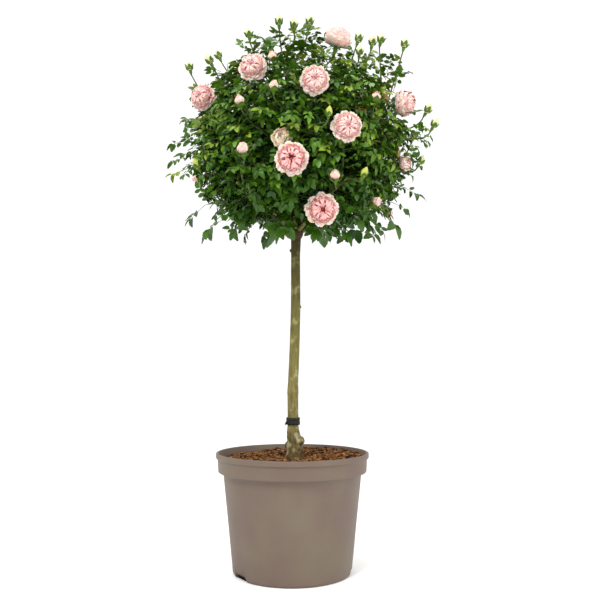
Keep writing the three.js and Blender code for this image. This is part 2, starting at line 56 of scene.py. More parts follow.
# The stem from the compost to the graft: height, sideways lean and radius at each station.
STEM = [
    (187.3, 3.6, 14.5), (200, 3.6, 13.6), (214, 3.2, 13.2), (228, 1.8, 12), (241, 1.2, 9.5),
    (262, 0.9, 9.2), (296, 0.6, 9.3), (304, 0.6, 10.2), (313, 0.8, 9), (375, 3.4, 8.7), (450, 5.4, 8.4),
    (540, 5.2, 8), (578, 6, 9),
]
KNOTS = [
    ((13, -3, 219), 8.5), ((8, -9, 205), 7), ((-4, 6, 210), 9), ((13.2, -1, 450), 2.6),
    ((-2.6, -1, 550), 3),
]
GRAFT = {"at": (6, 0, 580), "radius": 12.5}
TIE = {"z": 252.4, "x": 1, "inner": 10.3, "outer": 11.9, "height": 12.6}

CROWN = {"centre": (13, 0, 742), "radius": 195, "top": 158, "bottom": 165, "dome_up": 2, "dome_down": 3.2}
LOWEST_LEAF = 541
LIMB_RINGS = [(5, 22, 32), (5, 44, 0), (3, 72, 108)]  # how many, how steep, first azimuth
LIMB = {"radius": 3, "bow": 7, "handover": 0.36, "end": 0.82}
SHOOT = {"tries": 700, "apart": 49, "deep": -66, "shallow": -44, "clear_of_fork": 62, "clear_of_plane": 18}
TWIG = {"radius": 1.8, "bands": 2, "slant": 1.2, "set_back": 20, "bend": 0.33}
TWIG_SHIFTS = [0, 0.1, -0.12, -0.24]
TWIG_STRAIGHTENING = [0, 0.35, 0.7, 1]
LEAF = {"length": 66, "vary": 0.32, "width": 0.6, "widest": 0.44, "droop": 0.1}
LEAVES = {
    "spacing": 18, "fewest": 4, "most": 6, "apart": 12, "spread": 1.1, "end_spread": 0.3, "last_root": 0.96,
}
LEAF_TRIES = 12
FLOWER_ROOM = {"bloom": 0.56, "bud": 0.75}  # radius of the ball kept clear, as a share of the width
PLANE_MARGIN = 1.2
WOOD_MARGIN = 6
GAP = 0.3
GOLDEN_ANGLE = math.pi * (3 - math.sqrt(5))
SEED = 2203

# Shoots that reach beyond the round: azimuth, elevation, and height of their ends above its outline.
LONG_SHOOTS = [
    (-90, 0, -12), (-84, -9, -22), (92, 2, -10), (84, -13, -24), (172, 4, -26), (-40, 46, -34),
    (-72, -44, -38), (-46, -48, -38), (-18, -58, -42), (14, -60, -44), (42, -52, -38), (72, -42, -36),
    (98, -52, -40), (126, -44, -40), (158, -56, -42), (-168, -46, -38), (-142, -44, -40),
    (-112, -52, -40),
]

# Open blooms: azimuth and elevation on the crown, height above its outline, width, the azimuth and
# elevation that the bloom faces, and its tint.
BLOOMS = [
    (-29, 29, 2, 50, -12, 12, "pale"),
    (7, 14, 4, 50, 4, -2, "pale"),
    (29, 50, 26, 48, 24, 66, "rose"),
    (-71, 20, 6, 50, -42, 4, "rose"),
    (22, -7, 4, 55, 12, -8, "pale"),
    (-3, -23, 5, 58, -2, -10, "eyed"),
    (15, -46, 4, 60, 8, -12, "eyed"),
    (-14, -11, -16, 30, -10, 16, "cream"),
    (73, 16, 9, 50, 104, -6, "rose"),
    (71, -16, 0, 26, 66, 14, "pale"),
    (118, 36, 4, 52, 122, 30, "pale"),
    (146, -6, 3, 56, 148, 0, "eyed"),
    (176, 26, 5, 52, 178, 22, "pale"),
    (-150, 6, 3, 54, -152, 4, "rose"),
    (-124, 38, 5, 50, -126, 34, "pale"),
    (-106, -14, 4, 54, -108, -6, "eyed"),
    (-168, -34, 2, 54, -168, -16, "pale"),
    (112, -32, 2, 52, 112, -14, "rose"),
]

# Buds: azimuth, elevation, height above the outline, width and tint.
BUDS = [
    (-29, -17, 6, 19, "pink"), (18, -29, 4, 16, "pink"), (53, -38, 5, 17, "pink"),
    (-12, 10, 3, 15, "pink"), (-30, 6, 6, 16, "pink"), (42, 11, 4, 16, "pink"), (12, 0, 2, 12, "lime"),
    (34, -27, 2, 13, "lime"), (-19, 37, 14, 14, "pink"), (-80, 30, 28, 14, "green"),
    (-60, 37, 27, 14, "green"), (-48, 55, 36, 14, "green"), (-24, 65, 44, 14, "green"),
    (-4, 68, 40, 14, "green"), (14, 66, 44, 14, "green"), (51, 51, 33, 14, "green"),
    (57, 46, 38, 14, "green"), (64, 40, 44, 14, "green"), (74, 36, 60, 14, "green"),
    (72, 7, 38, 14, "green"), (71, 1, 44, 14, "green"), (79, -9, 24, 14, "green"),
    (-67, -15, 8, 14, "lime"), (96, 58, 40, 14, "green"), (134, 64, 36, 15, "green"),
    (162, 54, 40, 14, "green"), (-168, 66, 42, 14, "green"), (-142, 54, 36, 14, "green"),
    (-100, 48, 40, 14, "green"), (-112, 20, 24, 16, "pink"), (-132, -12, 14, 17, "pink"),
    (104, 8, 26, 14, "green"), (132, 16, 16, 18, "pink"), (164, -14, 12, 16, "pink"),
    (-174, 2, 20, 14, "green"),
]

# ---------------------------------------------------------------- sizes of what is finer

# The finer shoots, in layers from the inside out: how deep their ends lie below the outline, and above
# which value of a soft noise round the crown they are left out, so that hollows stay open.
FINE_LAYERS = [(-112, -84, 1), (-74, -50, 0.42), (-40, -16, 0.16)]
HOLLOWS = 5.5  # how fine the hollows are
# How much lower that value lies at the airy top, and over which rise of the heading it gets there.
TOP_HOLLOWS = {"more": 0.3, "over": (0.6, 0.95)}
# The share of finer shoots left out at the crown's top, over which rise of the heading it gets there,
# and how much of that share the leaves of the solids take.
THINNED = {"share": 0.62, "over": (0.15, 0.75), "solids": 0.7}
FINE = {
    "tries": 4200, "apart": 17, "clear_of_fork": 30, "shortest": 9, "radius": 0.8, "tip": 0.5, "bands": 4,
    "leaves": 3, "spacing": 11, "leaf_apart": 5.4,
}
# Where finer shoots may start: how many spots on a limb and from which share of it, how many on a twig
# and up to which share below a flower, how many are tried, and how much nearer to the fork one has to be.
STARTS = {"on_limb": 20, "first": 0.08, "on_twig": 8, "below_flower": 0.7, "tried": 24, "nearer": 6}
FIRST_KEYS = {"twig": 1000, "spray": 2000, "layer": 5000, "stalk": 9000}  # keys of the shoots' random draws
FRONT_DEPTH = 40  # flowers farther back than this aren't kept free of leaves for the camera
SIGHT = {"flower": 0.5, "leaf": 0.35}  # how near to a line of sight counts as before the flower
FINE_LEAF = {"length": 35, "vary": 0.36, "attempts": 8, "droop": 0.3, "shrink": 0.04}
REACH_PAST_OUTLINE = 6  # how far past the crown's outline the tip of a finer leaf may lie
# How much farther the finer growth reaches at the crown's top, how much less far under the crown,
# over which rise or fall of the heading, and how much of that the ends of the shoots follow.
SWELL = {"top": 14, "top_over": (0.1, 0.6), "under": 16, "under_over": (0.05, 0.65), "ends": 0.8}
DRAWN_LEAF = 0.68  # how much of a solid's length its compound leaf fills
DRAWN_LOW_LEAF = 0.84  # the same for the low leaves
DRAWN_WOOD = {"twig": 0.95, "twig_tip": 1.15, "limb_more": 0.1, "limb_tip": 1.7}
# The leaves right under the green buds: how far below them, their length, spread and attempts, and the
# share of the twig that stays bare.
STALK_LEAVES = {"below": [15, 24, 34, 46, 60], "length": 38, "spread": 1.3, "attempts": 6, "lowest": 0.2}

# Sprays that hang or stand out past the round: azimuth, elevation and height of their ends above it,
# and the length of their leaves.
SPRAYS = [
    (-91, 2, 6, 46), (-92, -6, 2, 46), (-98, 12, -4, 44), (-84, -14, -2, 46), (-96, -22, -6, 50),
    (-86, -34, -6, 52), (-69, -47, -10, 54), (-38, -60, -14, 50), (34, -62, -10, 52), (22, -66, -16, 44),
    (52, -52, -8, 48), (68, -43, -10, 52), (84, -34, -12, 50), (94, -22, -16, 52), (98, 2, -6, 50),
    (-100, 4, -8, 50), (-82, 12, -10, 44), (-80, 28, 4, 38), (-66, 42, 10, 38), (-50, 50, 10, 38),
    (-38, 62, 14, 38), (-60, 62, 14, 38), (-24, 70, 18, 38), (-8, 62, 12, 38), (-14, 78, 20, 38),
    (-56, 30, -4, 40), (8, 72, 16, 38), (20, 80, 20, 38), (30, 66, 14, 38), (44, 62, 14, 38),
    (60, 50, 14, 38), (72, 36, 8, 38), (84, 48, 10, 38), (86, 18, -10, 44), (112, -44, -10, 60),
    (138, -52, -10, 62), (168, -46, -10, 60), (-160, -56, -10, 62), (-132, -46, -10, 60),
    (-112, 34, -6, 42), (-140, 52, -6, 42), (-172, 40, -6, 42), (156, 62, -6, 42), (128, 38, -6, 42),
]
SPRAY_REACH = 54  # how far past the outline the leaves of a spray may lie
# The height of the lowest leaves at the crown's middle, how much it rises with each mm to the back, and
# how far above it the finer leaves start and the solids' leaves are all kept.
HANG = {"level": 564, "rise": 0.17, "fine": 24, "kept": 34}
LOWEST_END = LOWEST_LEAF + 8  # no finer shoot ends below this height

# Kinds of compound leaf: where the pairs of leaflets leave the rachis and how long they are, and the
# same for the end leaflet, as shares of the leaf's length.
FIVE_SMALL = {"pairs": [(0.3, 0.27), (0.56, 0.34)], "end": (0.6, 0.42)}
FIVE_LARGE = {"pairs": [(0.36, 0.33), (0.6, 0.4)], "end": (0.62, 0.44)}
SEVEN = {"pairs": [(0.22, 0.2), (0.42, 0.24), (0.62, 0.26)], "end": (0.68, 0.3)}
LOW_LEAVES = 600  # leaves with their tips below this height have large leaflets
OPEN_ABOVE = 0.02  # noise value above which the solids' leaves of the upper crown are left out too
KEPT_LOW = 0.2  # the share of the solids' low leaves that is drawn, where the photo shows sky between them
BARE_ROUND_STEM = 80  # none of them nearer to the stem than this
LEAFLET = {"width": 0.6, "teeth": 4, "tooth": 0.035, "fold": 0.35, "arch": 0.2}
OVAL_PEAK = 0.3846  # the greatest value of the curve that a leaflet's edge follows
RACHIS_RADIUS = 0.42

# How the flowers that the photo shows stand: how far sideways and up from the place that the solids
# leave for them, the azimuth and elevation that they face, and how wide they are drawn.
STANDING = {
    0: (1, -3, -12, 8, 1.06),
    1: (0, -2, 2, -6, 1.06),
    2: (2, -2, 40, 70, 1.12),
    3: (3, 0, -24, 0, 1.04),
    4: (-1, -2, 10, -8, 1),
    5: (-3, 2, -2, -10, 1.02),
    6: (-1, 0, 6, -12, 1.02),
    7: (15, -7, -4, 6, 1.38),
    8: (-2, 0, 66, 2, 1.1),
    9: (-4, 4, 40, 10, 1.24),
}
CUPPED = [2, 8, 12, 16]  # blooms that are still cupped
STILL_CLOSED = [15, 17]  # blooms of the sides that are still buds, as the photo shows none at its edges there
CLOSED_WIDTH = 17
PINK_BUD_SIZE = 1.18
# How far sideways and up the buds that the photo shows stand from their place, by number in BUDS.
BUD_SHIFTS = {
    0: (8, 0), 1: (-3, 0), 2: (-9, 3), 4: (6, -4), 5: (-8, -5), 6: (3, -10), 7: (-4, 0), 8: (6, -16),
    9: (-14, 22), 10: (-10, -5), 13: (-5, -3), 14: (-4, -2), 17: (-14, 17), 18: (-5, 19), 19: (-3, 9),
    20: (0, 6), 21: (-7, -9), 22: (13, -6), 28: (-10, 16),
}
DRAWN_BLOOM = 0.91  # how wide the petals of a bloom reach, as a share of the room kept for it

FLOOR_SIZE = 14000
SRGB_POWER = 2.4


# ---------------------------------------------------------------- small helpers


def vec(x, y, z):
    return Vector((x, y, z))


def around(radius, angle, z=0):
    """A place round the Z axis, with its angle in radians from +X."""
    return vec(radius * math.cos(angle), radius * math.sin(angle), z)


def ring_angles(sides):
    return [2 * math.pi * side / sides for side in range(sides)]


UP = vec(0, 0, 1)
CAMERA = {"at": vec(13, -1286, 350), "pitch": 5.0, "focal_px": 736, "image_px": 600}
FORK = Vector(GRAFT["at"])
CENTRE = Vector(CROWN["centre"])


def clamp(value, low, high):
    return max(low, min(high, value))


def mix(a, b, share):
    return a + (b - a) * share


def smooth(low, high, value):
    share = clamp((value - low) / (high - low), 0, 1)
    return share * share * (3 - 2 * share)


def chance(*keys):
    """The same number from 0 to 1 each time for the same keys."""
    value = SEED
    for key in keys:
        value = ((value ^ (key + 101)) * 2654435761) & 0xFFFFFFFF
        value ^= value >> 15
    return value / 2**32


def compass(azimuth, elevation):
    """The unit vector at an azimuth from the front towards +X, and an elevation, in degrees."""
    a, e = math.radians(azimuth), math.radians(elevation)
    return vec(math.sin(a) * math.cos(e), -math.cos(a) * math.cos(e), math.sin(e))


def cross_pair(direction):
    """Two unit vectors square to a direction and to each other."""
    helper = vec(1, 0, 0) if abs(direction.z) > 0.9 else UP
    first = helper.cross(direction).normalized()
    return first, direction.cross(first)


def colour(red, green, blue):
    """A colour seen on screen, 0 to 255, as the light that a shader takes."""
    linear = [(c / 255 + 0.055) / 1.055 for c in (red, green, blue)]
    return tuple(c**SRGB_POWER for c in linear) + (1,)


class Bezier:
    def __init__(self, *controls):
        self.controls = controls

    def point(self, t):
        a, b, c, d = self.controls
        s = 1 - t
        return a * s**3 + b * 3 * s * s * t + c * 3 * s * t * t + d * t**3

    def tangent(self, t):
        a, b, c, d = self.controls
        s = 1 - t
        return ((b - a) * s * s + (c - b) * 2 * s * t + (d - c) * t * t).normalized()

    def points(self, bands):
        return [self.point(k / bands) for k in range(bands + 1)]

    def length(self):
        points = self.points(60)
        return sum((b - a).length for a, b in zip(points, points[1:]))


def lines_through(points):
    return list(zip(points, points[1:]))


def nearest_on(line, point):
    """The spot on a stretch nearest to a point."""
    start, end = line
    way = end - start
    return start + way * clamp((point - start).dot(way) / max(way.length_squared, 1e-9), 0, 1)


def gap_between(one, other):
    """The shortest distance between two stretches."""
    p, q = one[0], other[0]
    d, e = one[1] - p, other[1] - q
    r = p - q
    a, c, f, b, g = d.dot(d), d.dot(r), e.dot(r), d.dot(e), e.dot(e)
    cross = a * g - b * b
    s = clamp((b * f - c * g) / cross, 0, 1) if cross > 1e-9 else 0
    t = (b * s + f) / g
    if not 0 <= t <= 1:
        t = clamp(t, 0, 1)
        s = clamp((b * t - c) / a, 0, 1)
    return (p + d * s - q - e * t).length


# ---------------------------------------------------------------- the crown's rule, as in the solids


def outline(direction):
    """Distance from the crown's centre to its outline along a unit vector."""
    rising = direction.z >= 0
    power = CROWN["dome_up"] if rising else CROWN["dome_down"]
    level = math.hypot(direction.x, direction.y) / CROWN["radius"]
    upright = abs(direction.z) / (CROWN["top"] if rising else CROWN["bottom"])
    return (level**power + upright**power) ** (-1 / power)


def on_crown(direction, lift):
    return CENTRE + direction * (outline(direction) + lift)


def depth_of(point):
    """How far a point lies outside the crown's outline, or below it where that is negative."""
    offset = point - CENTRE
    return offset.length - outline(offset.normalized())


class Limb:
    def __init__(self, axis):
        self.axis = axis
        self.reach = self.find_reach()
        self.bare = self.lines([0, 0.13, 0.26, LIMB["handover"]])
        self.leafy = self.lines([LIMB["handover"], 0.52, 0.68, LIMB["end"]])

    def find_reach(self):
        near, far = 0, 2 * CROWN["radius"]
        for _ in range(20):
            middle = (near + far) / 2
            if depth_of(FORK + self.axis * middle) < 0:
                near = middle
            else:
                far = middle
        return near

    def point(self, share):
        arch = LIMB["bow"] * math.sin(math.pi * share)
        return FORK + self.axis * (self.reach * share) + UP * arch

    def lines(self, shares):
        return lines_through([self.point(share) for share in shares])

    def space_margin(self, point):
        """How far inside this limb's own space a point lies."""
        from_fork = point - FORK
        margins = []
        for other in LIMBS:
            if other is not self:
                across = self.axis - other.axis
                margins.append(from_fork.dot(across) / across.length)
        return min(margins)


LIMBS = [
    Limb(compass(azimuth + 360 * k / count, elevation))
    for count, elevation, azimuth in LIMB_RINGS
    for k in range(count)
]
STEM_LINE = (vec(FORK.x, FORK.y, LOWEST_LEAF - LEAF["length"]), FORK)


def owner_of(point):
    return max(LIMBS, key=lambda limb: limb.axis.dot(point - FORK))


class Flower:
    def __init__(self, key, at, facing, width, keep_out, tint):
        self.key = key
        self.at = at
        self.facing = facing
        self.width = width
        self.keep_out = keep_out
        self.tint = tint
        self.bloom = key < len(BLOOMS)
        self.open = self.bloom and width > 40


def list_flowers():
    flowers = []
    for azimuth, elevation, lift, width, face_azimuth, face_elevation, tint in BLOOMS:
        at = on_crown(compass(azimuth, elevation), lift)
        facing = compass(face_azimuth, face_elevation)
        flowers.append(Flower(len(flowers), at, facing, width, width * FLOWER_ROOM["bloom"], tint))
    for k, (azimuth, elevation, lift, width, tint) in enumerate(BUDS):
        outward = compass(azimuth, elevation)
        sway = compass(360 * chance(k, 1), 0) * 0.25
        facing = (outward * 0.7 + UP + sway).normalized()
        at = on_crown(outward, lift)
        flowers.append(Flower(len(flowers), at, facing, width, width * FLOWER_ROOM["bud"], tint))
    return flowers


FLOWERS = list_flowers()
FRONT_FLOWERS = [flower for flower in FLOWERS if flower.at.y < FRONT_DEPTH]


def clear_of_flowers(line, half, own=None):
    """True where a stretch of that half thickness stays out of the flowers and of the view of the blooms."""
    for flower in FLOWERS:
        if flower is own:
            continue
        offset = nearest_on(line, flower.at) - flower.at
        if offset.length < flower.keep_out + half:
            return False
        if flower.open:
            ahead = offset.dot(flower.facing)
            if 0 <= ahead <= flower.width and (offset - flower.facing * ahead).length <= flower.keep_out:
                return False
    return True


class Twig:
    def __init__(self, key, at, facing, limb, flower=None):
        self.key = key
        self.at = at
        self.facing = facing
        self.limb = limb
        self.flower = flower
        self.leaves = []
        self.line = self.find_line()

    def find_line(self):
        """The twig straightens, and then moves along its limb, until it fits."""
        limb = self.limb
        to_end = self.at - FORK
        forward = to_end.dot(limb.axis)
        sideways = (to_end - limb.axis * forward).length
        nearest = LIMB["handover"] + 0.05 + 0.16 * chance(self.key, 5)
        farthest = LIMB["end"] - 0.03
        wanted = (forward - TWIG["slant"] * sideways - TWIG["set_back"]) / limb.reach
        for shift in TWIG_SHIFTS:
            root = limb.point(clamp(clamp(wanted, nearest, farthest) + shift, nearest, farthest))
            reach = self.at - root
            for straight in TWIG_STRAIGHTENING:
                start = mix(limb.axis, reach.normalized(), 0.5 + 0.5 * straight)
                finish = mix(self.facing, reach.normalized(), straight)
                span = reach.length * TWIG["bend"]
                line = Bezier(root, root + start * span, self.at - finish * span, self.at)
                if self.fits(line):
                    return line
        return None

    def fits(self, line):
        if any(self.limb.space_margin(point) < TWIG["radius"] + GAP for point in line.controls):
            return False
        stretches = [s for bands in (6, TWIG["bands"]) for s in lines_through(line.points(bands))]
        room = TWIG["radius"] + LIMB["radius"] + 1
        if any(gap_between(stretch, wood) < room for stretch in stretches for wood in self.limb.bare):
            return False
        return all(clear_of_flowers(stretch, TWIG["radius"], self.flower) for stretch in stretches)

    def chords(self):
        return lines_through(self.line.points(TWIG["bands"]))

    def spot(self, share):
        """A spot on the twig's solid."""
        points = self.line.points(TWIG["bands"])
        band = min(int(share * TWIG["bands"]), TWIG["bands"] - 1)
        return mix(points[band], points[band + 1], share * TWIG["bands"] - band)


def spiral(tries):
    """Unit vectors spread evenly over a ball."""
    for k in range(tries):
        height = 1 - (2 * k + 1) / tries
        yield around(math.sqrt(1 - height * height), k * GOLDEN_ANGLE, height)


def shoot_ends():
    ways = [(compass(azimuth, elevation), lift) for azimuth, elevation, lift in LONG_SHOOTS]
    for k, outward in enumerate(spiral(SHOOT["tries"])):
        ways.append((outward, SHOOT["deep"] + (SHOOT["shallow"] - SHOOT["deep"]) * chance(k, 2)))
    ends = []
    for k, (outward, lift) in enumerate(ways):
        at = on_crown(outward, lift)
        limb = owner_of(at)
        first = k < len(LONG_SHOOTS)
        room = TWIG["radius"] + GAP if first else SHOOT["clear_of_plane"]
        in_space = limb.space_margin(at) > room
        spaced = first or all((end[1] - at).length > SHOOT["apart"] for end in ends)
        if in_space and spaced and (at - FORK).length > SHOOT["clear_of_fork"]:
            ends.append((FIRST_KEYS["twig"] + k, at, outward, limb))
    return ends


class Blade:
    """A leaf that faces the light from above and outside, with three beads that stand for its room."""

    def __init__(self, root, direction, length):
        light = (root - CENTRE).normalized() * 0.7 + UP
        self.root = root
        self.direction = direction
        self.length = length
        self.across = direction.cross(light).normalized()
        self.face = self.across.cross(direction)
        self.half = length * LEAF["width"] / 2
        middle = root + direction * (length * LEAF["widest"])
        tip = root + direction * length - self.face * (length * LEAF["droop"])
        self.corners = [root, middle + self.across * self.half, tip, middle - self.across * self.half]
        self.beads = [mix(root, middle, 0.7), mix(middle, tip, 0.2), mix(middle, tip, 0.75)]
        self.tip = tip

    def outer_line(self):
        return mix(self.root, self.tip, 0.2), self.tip

    def clear_of_flowers(self):
        return clear_of_flowers(self.outer_line(), self.half * 0.4)

    def crossed_by(self, a, b):
        """True where the stretch from a to b passes through the blade."""
        root, left, tip, right = self.corners
        way = b - a
        for side in (left, right):
            hit = intersect_ray_tri(root, side, tip, way, a, True)
            if hit is not None and (hit - a).length < way.length:
                return True
        return False

    def crosses(self, other):
        sides = zip(self.corners, self.corners[1:] + self.corners[:1])
        if any(other.crossed_by(a, b) for a, b in sides):
            return True
        sides = zip(other.corners, other.corners[1:] + other.corners[:1])
        return any(self.crossed_by(a, b) for a, b in sides)

    def clear_of_wood(self, limb):
        root, left, tip, right = self.corners
        lines = lines_through([root, left, tip, right, root, tip])
        if any(gap_between(line, STEM_LINE) < GRAFT["radius"] + 4 for line in lines):
            return False
        room = LIMB["radius"] + WOOD_MARGIN
        return not any(gap_between(line, wood) < room for line in lines for wood in limb.bare)


def leaf_fits(leaf, twig, mates, leaves):
    if any(twig.limb.space_margin(point) < PLANE_MARGIN for point in leaf.corners):
        return False
    if any(point.z < LOWEST_LEAF for point in leaf.corners) or not leaf.clear_of_wood(twig.limb):
        return False
    if not leaf.clear_of_flowers():
        return False
    others = leaves + [other for mate in mates for other in mate.leaves]
    for other in others:
        if any((spot - bead).length < LEAVES["apart"] for spot in other.beads for bead in leaf.beads):
            return False
    if any(leaf.crosses(other) for other in others):
        return False
    wood = twig.limb.leafy + [line for mate in mates if mate is not twig for line in mate.chords()]
    return not any(leaf.crossed_by(a, b) for a, b in wood)


def leaf_way(tangent, turn, spread):
    first, second = cross_pair(tangent)
    return tangent + first * (spread * math.cos(turn)) + second * (spread * math.sin(turn))


def leaves_of(twig, mates):
    """The leaves of one twig. Each turns about the twig until it fits, and is left out if it never does."""
    key, line, flower = twig.key, twig.line, twig.flower
    length = line.length()
    stalk = max(flower.width / 2 + 14, 44 - flower.width / 2) if flower else 0
    last = max(0.4, 1 - stalk / length)
    room = math.floor(length * last / LEAVES["spacing"] + 0.5)
    count = min(room, LEAVES["fewest"]) if flower else clamp(room, LEAVES["fewest"], LEAVES["most"])
    leaves = []
    for k in range(count):
        share = last * (0.2 + 0.8 * (k + 1) / count)
        root = twig.spot(min(share, LEAVES["last_root"]))
        spread = LEAVES["end_spread"] if share == 1 else LEAVES["spread"]
        wanted = LEAF["length"] * (1 - LEAF["vary"] / 2 + LEAF["vary"] * chance(key, k, 3))
        inward = (FORK + twig.limb.axis * (root - FORK).length - root).normalized()
        for attempt in range(LEAF_TRIES):
            turn = GOLDEN_ANGLE * (k + key) + attempt * math.pi / 3
            direction = leaf_way(line.tangent(share), turn, spread)
            late = attempt >= LEAF_TRIES / 2
            if late:
                direction += inward
            direction -= UP * (0.25 * chance(key, k, 4))
            leaf = Blade(root, direction.normalized(), wanted * 0.85 if late else wanted)
            if leaf_fits(leaf, twig, mates, leaves):
                leaves.append(leaf)
                break
    return leaves


def grow_twigs():
    twigs = [Twig(flower.key, flower.at, flower.facing, owner_of(flower.at), flower) for flower in FLOWERS]
    twigs += [Twig(*end) for end in shoot_ends()]
    twigs = [twig for twig in twigs if twig.line]
    for twig in twigs:
        mates = [mate for mate in twigs if mate.limb is twig.limb]
        twig.leaves = leaves_of(twig, mates)
    return twigs


# ---------------------------------------------------------------- the rule carried to finer shoots


class Spots:
    """Points in small cells, so that those near a place are found at once."""

    def __init__(self, apart):
        self.apart = apart
        self.cells = {}

    def cell(self, point):
        return tuple(math.floor(c / self.apart) for c in point)

    def add(self, point):
        self.cells.setdefault(self.cell(point), []).append(point)

    def add_leaf(self, leaf):
        for bead in leaf.beads:
            self.add(bead)

    def crowded(self, point):
        x, y, z = self.cell(point)
        return any(
            (other - point).length < self.apart
            for i in (x - 1, x, x + 1)
            for j in (y - 1, y, y + 1)
            for k in (z - 1, z, z + 1)
            for other in self.cells.get((i, j, k), ())
        )


class Shoot:
    """A finer twig: its line, its leaves, and how far past the outline they may reach."""

    def __init__(self, key, line, reach):
        self.key = key
        self.line = line
        self.reach = reach
        self.leaves = []


class Starts:
    """Spots along the wood where a finer shoot can start, each with the heading of its wood."""

    def __init__(self, twigs):
        self.spots = []
        for limb in LIMBS:
            for k in range(STARTS["on_limb"]):
                share = mix(STARTS["first"], LIMB["end"], k / (STARTS["on_limb"] - 1))
                self.spots.append((limb.point(share), limb.axis))
        for twig in twigs:
            self.add_line(twig.line, STARTS["below_flower"] if twig.flower else 1, STARTS["on_twig"])
        self.sort()

    def add_line(self, line, last, count):
        for k in range(1, count + 1):
            self.spots.append((line.point(last * k / count), line.tangent(last * k / count)))

    def sort(self):
        self.tree = kdtree.KDTree(len(self.spots))
        for k, (point, _) in enumerate(self.spots):
            self.tree.insert(point, k)
        self.tree.balance()

    def nearest(self, at):
        """The nearest spot that lies nearer to the fork than a shoot's end does."""
        limit = (at - FORK).length - STARTS["nearer"]
        for _, index, _ in self.tree.find_n(at, STARTS["tried"]):
            if (self.spots[index][0] - FORK).length < limit:
                return self.spots[index]
        return None


def hides_flower(leaf):
    """True where a leaf would stand before a flower of the front, as the camera sees it."""
    line = leaf.outer_line()
    for flower in FRONT_FLOWERS:
        room = SIGHT["flower"] * flower.width + SIGHT["leaf"] * leaf.half
        if gap_between(line, (flower.at, CAMERA["at"])) < room:
            return True
    return False


def hang_line(point):
    """The height of the lowest leaves, higher at the back so that the camera sees none below the rest."""
    return max(LOWEST_END, HANG["level"] + HANG["rise"] * (point.y - CENTRE.y))


def thinning(outward):
    """The share of finer shoots that the airy top of the crown goes without."""
    return THINNED["share"] * smooth(*THINNED["over"], outward.z)


def swell(way):
    """How much farther than at its sides the finer growth reaches, up or down."""
    raised = SWELL["top"] * smooth(*SWELL["top_over"], way.z)
    return raised - SWELL["under"] * smooth(*SWELL["under_over"], -way.z)


def fine_leaf_fits(leaf, room, reach):
    floor = hang_line(leaf.tip) + (0 if reach == SPRAY_REACH else HANG["fine"])
    if reach != SPRAY_REACH:
        reach += swell((leaf.tip - CENTRE).normalized())
    if min(corner.z for corner in leaf.corners) < floor or depth_of(leaf.tip) > reach:
        return False
    if gap_between((leaf.root, leaf.tip), STEM_LINE) < GRAFT["radius"]:
        return False
    if not leaf.clear_of_flowers():
        return False
    if any(room.crowded(bead) for bead in leaf.beads):
        return False
    return not hides_flower(leaf)


def grow_leaf(shoot, room, k, share, size, attempts, spread, opening=0, droop=0, shrink=0):
    """Adds a leaf that turns about its shoot, attempt by attempt, until it fits, if it ever does."""
    for attempt in range(attempts):
        turn = GOLDEN_ANGLE * (k + shoot.key) + attempt * math.pi / 3
        direction = leaf_way(shoot.line.tangent(share), turn, spread + opening * attempt) - UP * droop
        leaf = Blade(shoot.line.point(share), direction.normalized(), size * (1 - shrink * attempt))
        if fine_leaf_fits(leaf, room, shoot.reach):
            shoot.leaves.append(leaf)
            room.add_leaf(leaf)
            return


def add_fine_leaves(shoot, room, size):
    count = clamp(math.floor(shoot.line.length() / FINE["spacing"] + 0.5), 2, FINE["leaves"])
    vary, attempts, shrink = FINE_LEAF["vary"], FINE_LEAF["attempts"], FINE_LEAF["shrink"]
    for k in range(count):
        wanted = size * (1 - vary / 2 + vary * chance(shoot.key, k, 3))
        droop = FINE_LEAF["droop"] * chance(shoot.key, k, 4)
        spread, opening = (0.3, 0.35) if k == 0 else (LEAVES["spread"], 0)
        grow_leaf(shoot, room, k, 1 - 0.75 * k / count, wanted, attempts, spread, opening, droop, shrink)


def stalk_shoot(twig, room):
    """The small leaves right under a green bud, which the solids leave out."""
    shoot = Shoot(FIRST_KEYS["stalk"] + twig.key, twig.line, SPRAY_REACH)
    length = twig.line.length()
    for k, below in enumerate(STALK_LEAVES["below"]):
        share = 1 - below / length
        if share < STALK_LEAVES["lowest"]:
            break
        size = STALK_LEAVES["length"] * (0.6 + 0.1 * k) * (0.85 + 0.3 * chance(shoot.key, k, 3))
        grow_leaf(shoot, room, k, share, size, STALK_LEAVES["attempts"], STALK_LEAVES["spread"])
    return shoot


def fine_line(root, way, at, outward):
    """The line of a finer shoot, or nothing where it would be too short or would cross a flower."""
    reach = at - root
    if reach.length < FINE["shortest"]:
        return None
    heading = reach.normalized()
    span = reach.length * TWIG["bend"]
    line = Bezier(root, root + mix(way, heading, 0.6) * span, at - mix(outward, heading, 0.5) * span, at)
    stretches = lines_through(line.points(FINE["bands"]))
    clear = all(clear_of_flowers(stretch, FINE["radius"]) for stretch in stretches)
    return line if clear else None


def spray_ways():
    """Where the sprays end: key, heading, height above the outline, reach and length of leaf."""
    return [
        (FIRST_KEYS["spray"] + k, compass(azimuth, elevation), lift, SPRAY_REACH, size)
        for k, (azimuth, elevation, lift, size) in enumerate(SPRAYS)
    ]


def layer_ways(layer):
    """The same for one layer of finer shoots, with its hollows left open."""
    deep, shallow, open_above = FINE_LAYERS[layer]
    ways = []
    for k, outward in enumerate(spiral(FINE["tries"])):
        lower = TOP_HOLLOWS["more"] * smooth(*TOP_HOLLOWS["over"], outward.z)
        if noise.noise(outward * HOLLOWS) > open_above - lower:
            continue
        key = FIRST_KEYS["layer"] * (1 + layer) + k
        lift = deep + (shallow - deep) * chance(key, 2) + SWELL["ends"] * swell(outward)
        ways.append((key, outward, lift, REACH_PAST_OUTLINE, FINE_LEAF["length"]))
    return ways


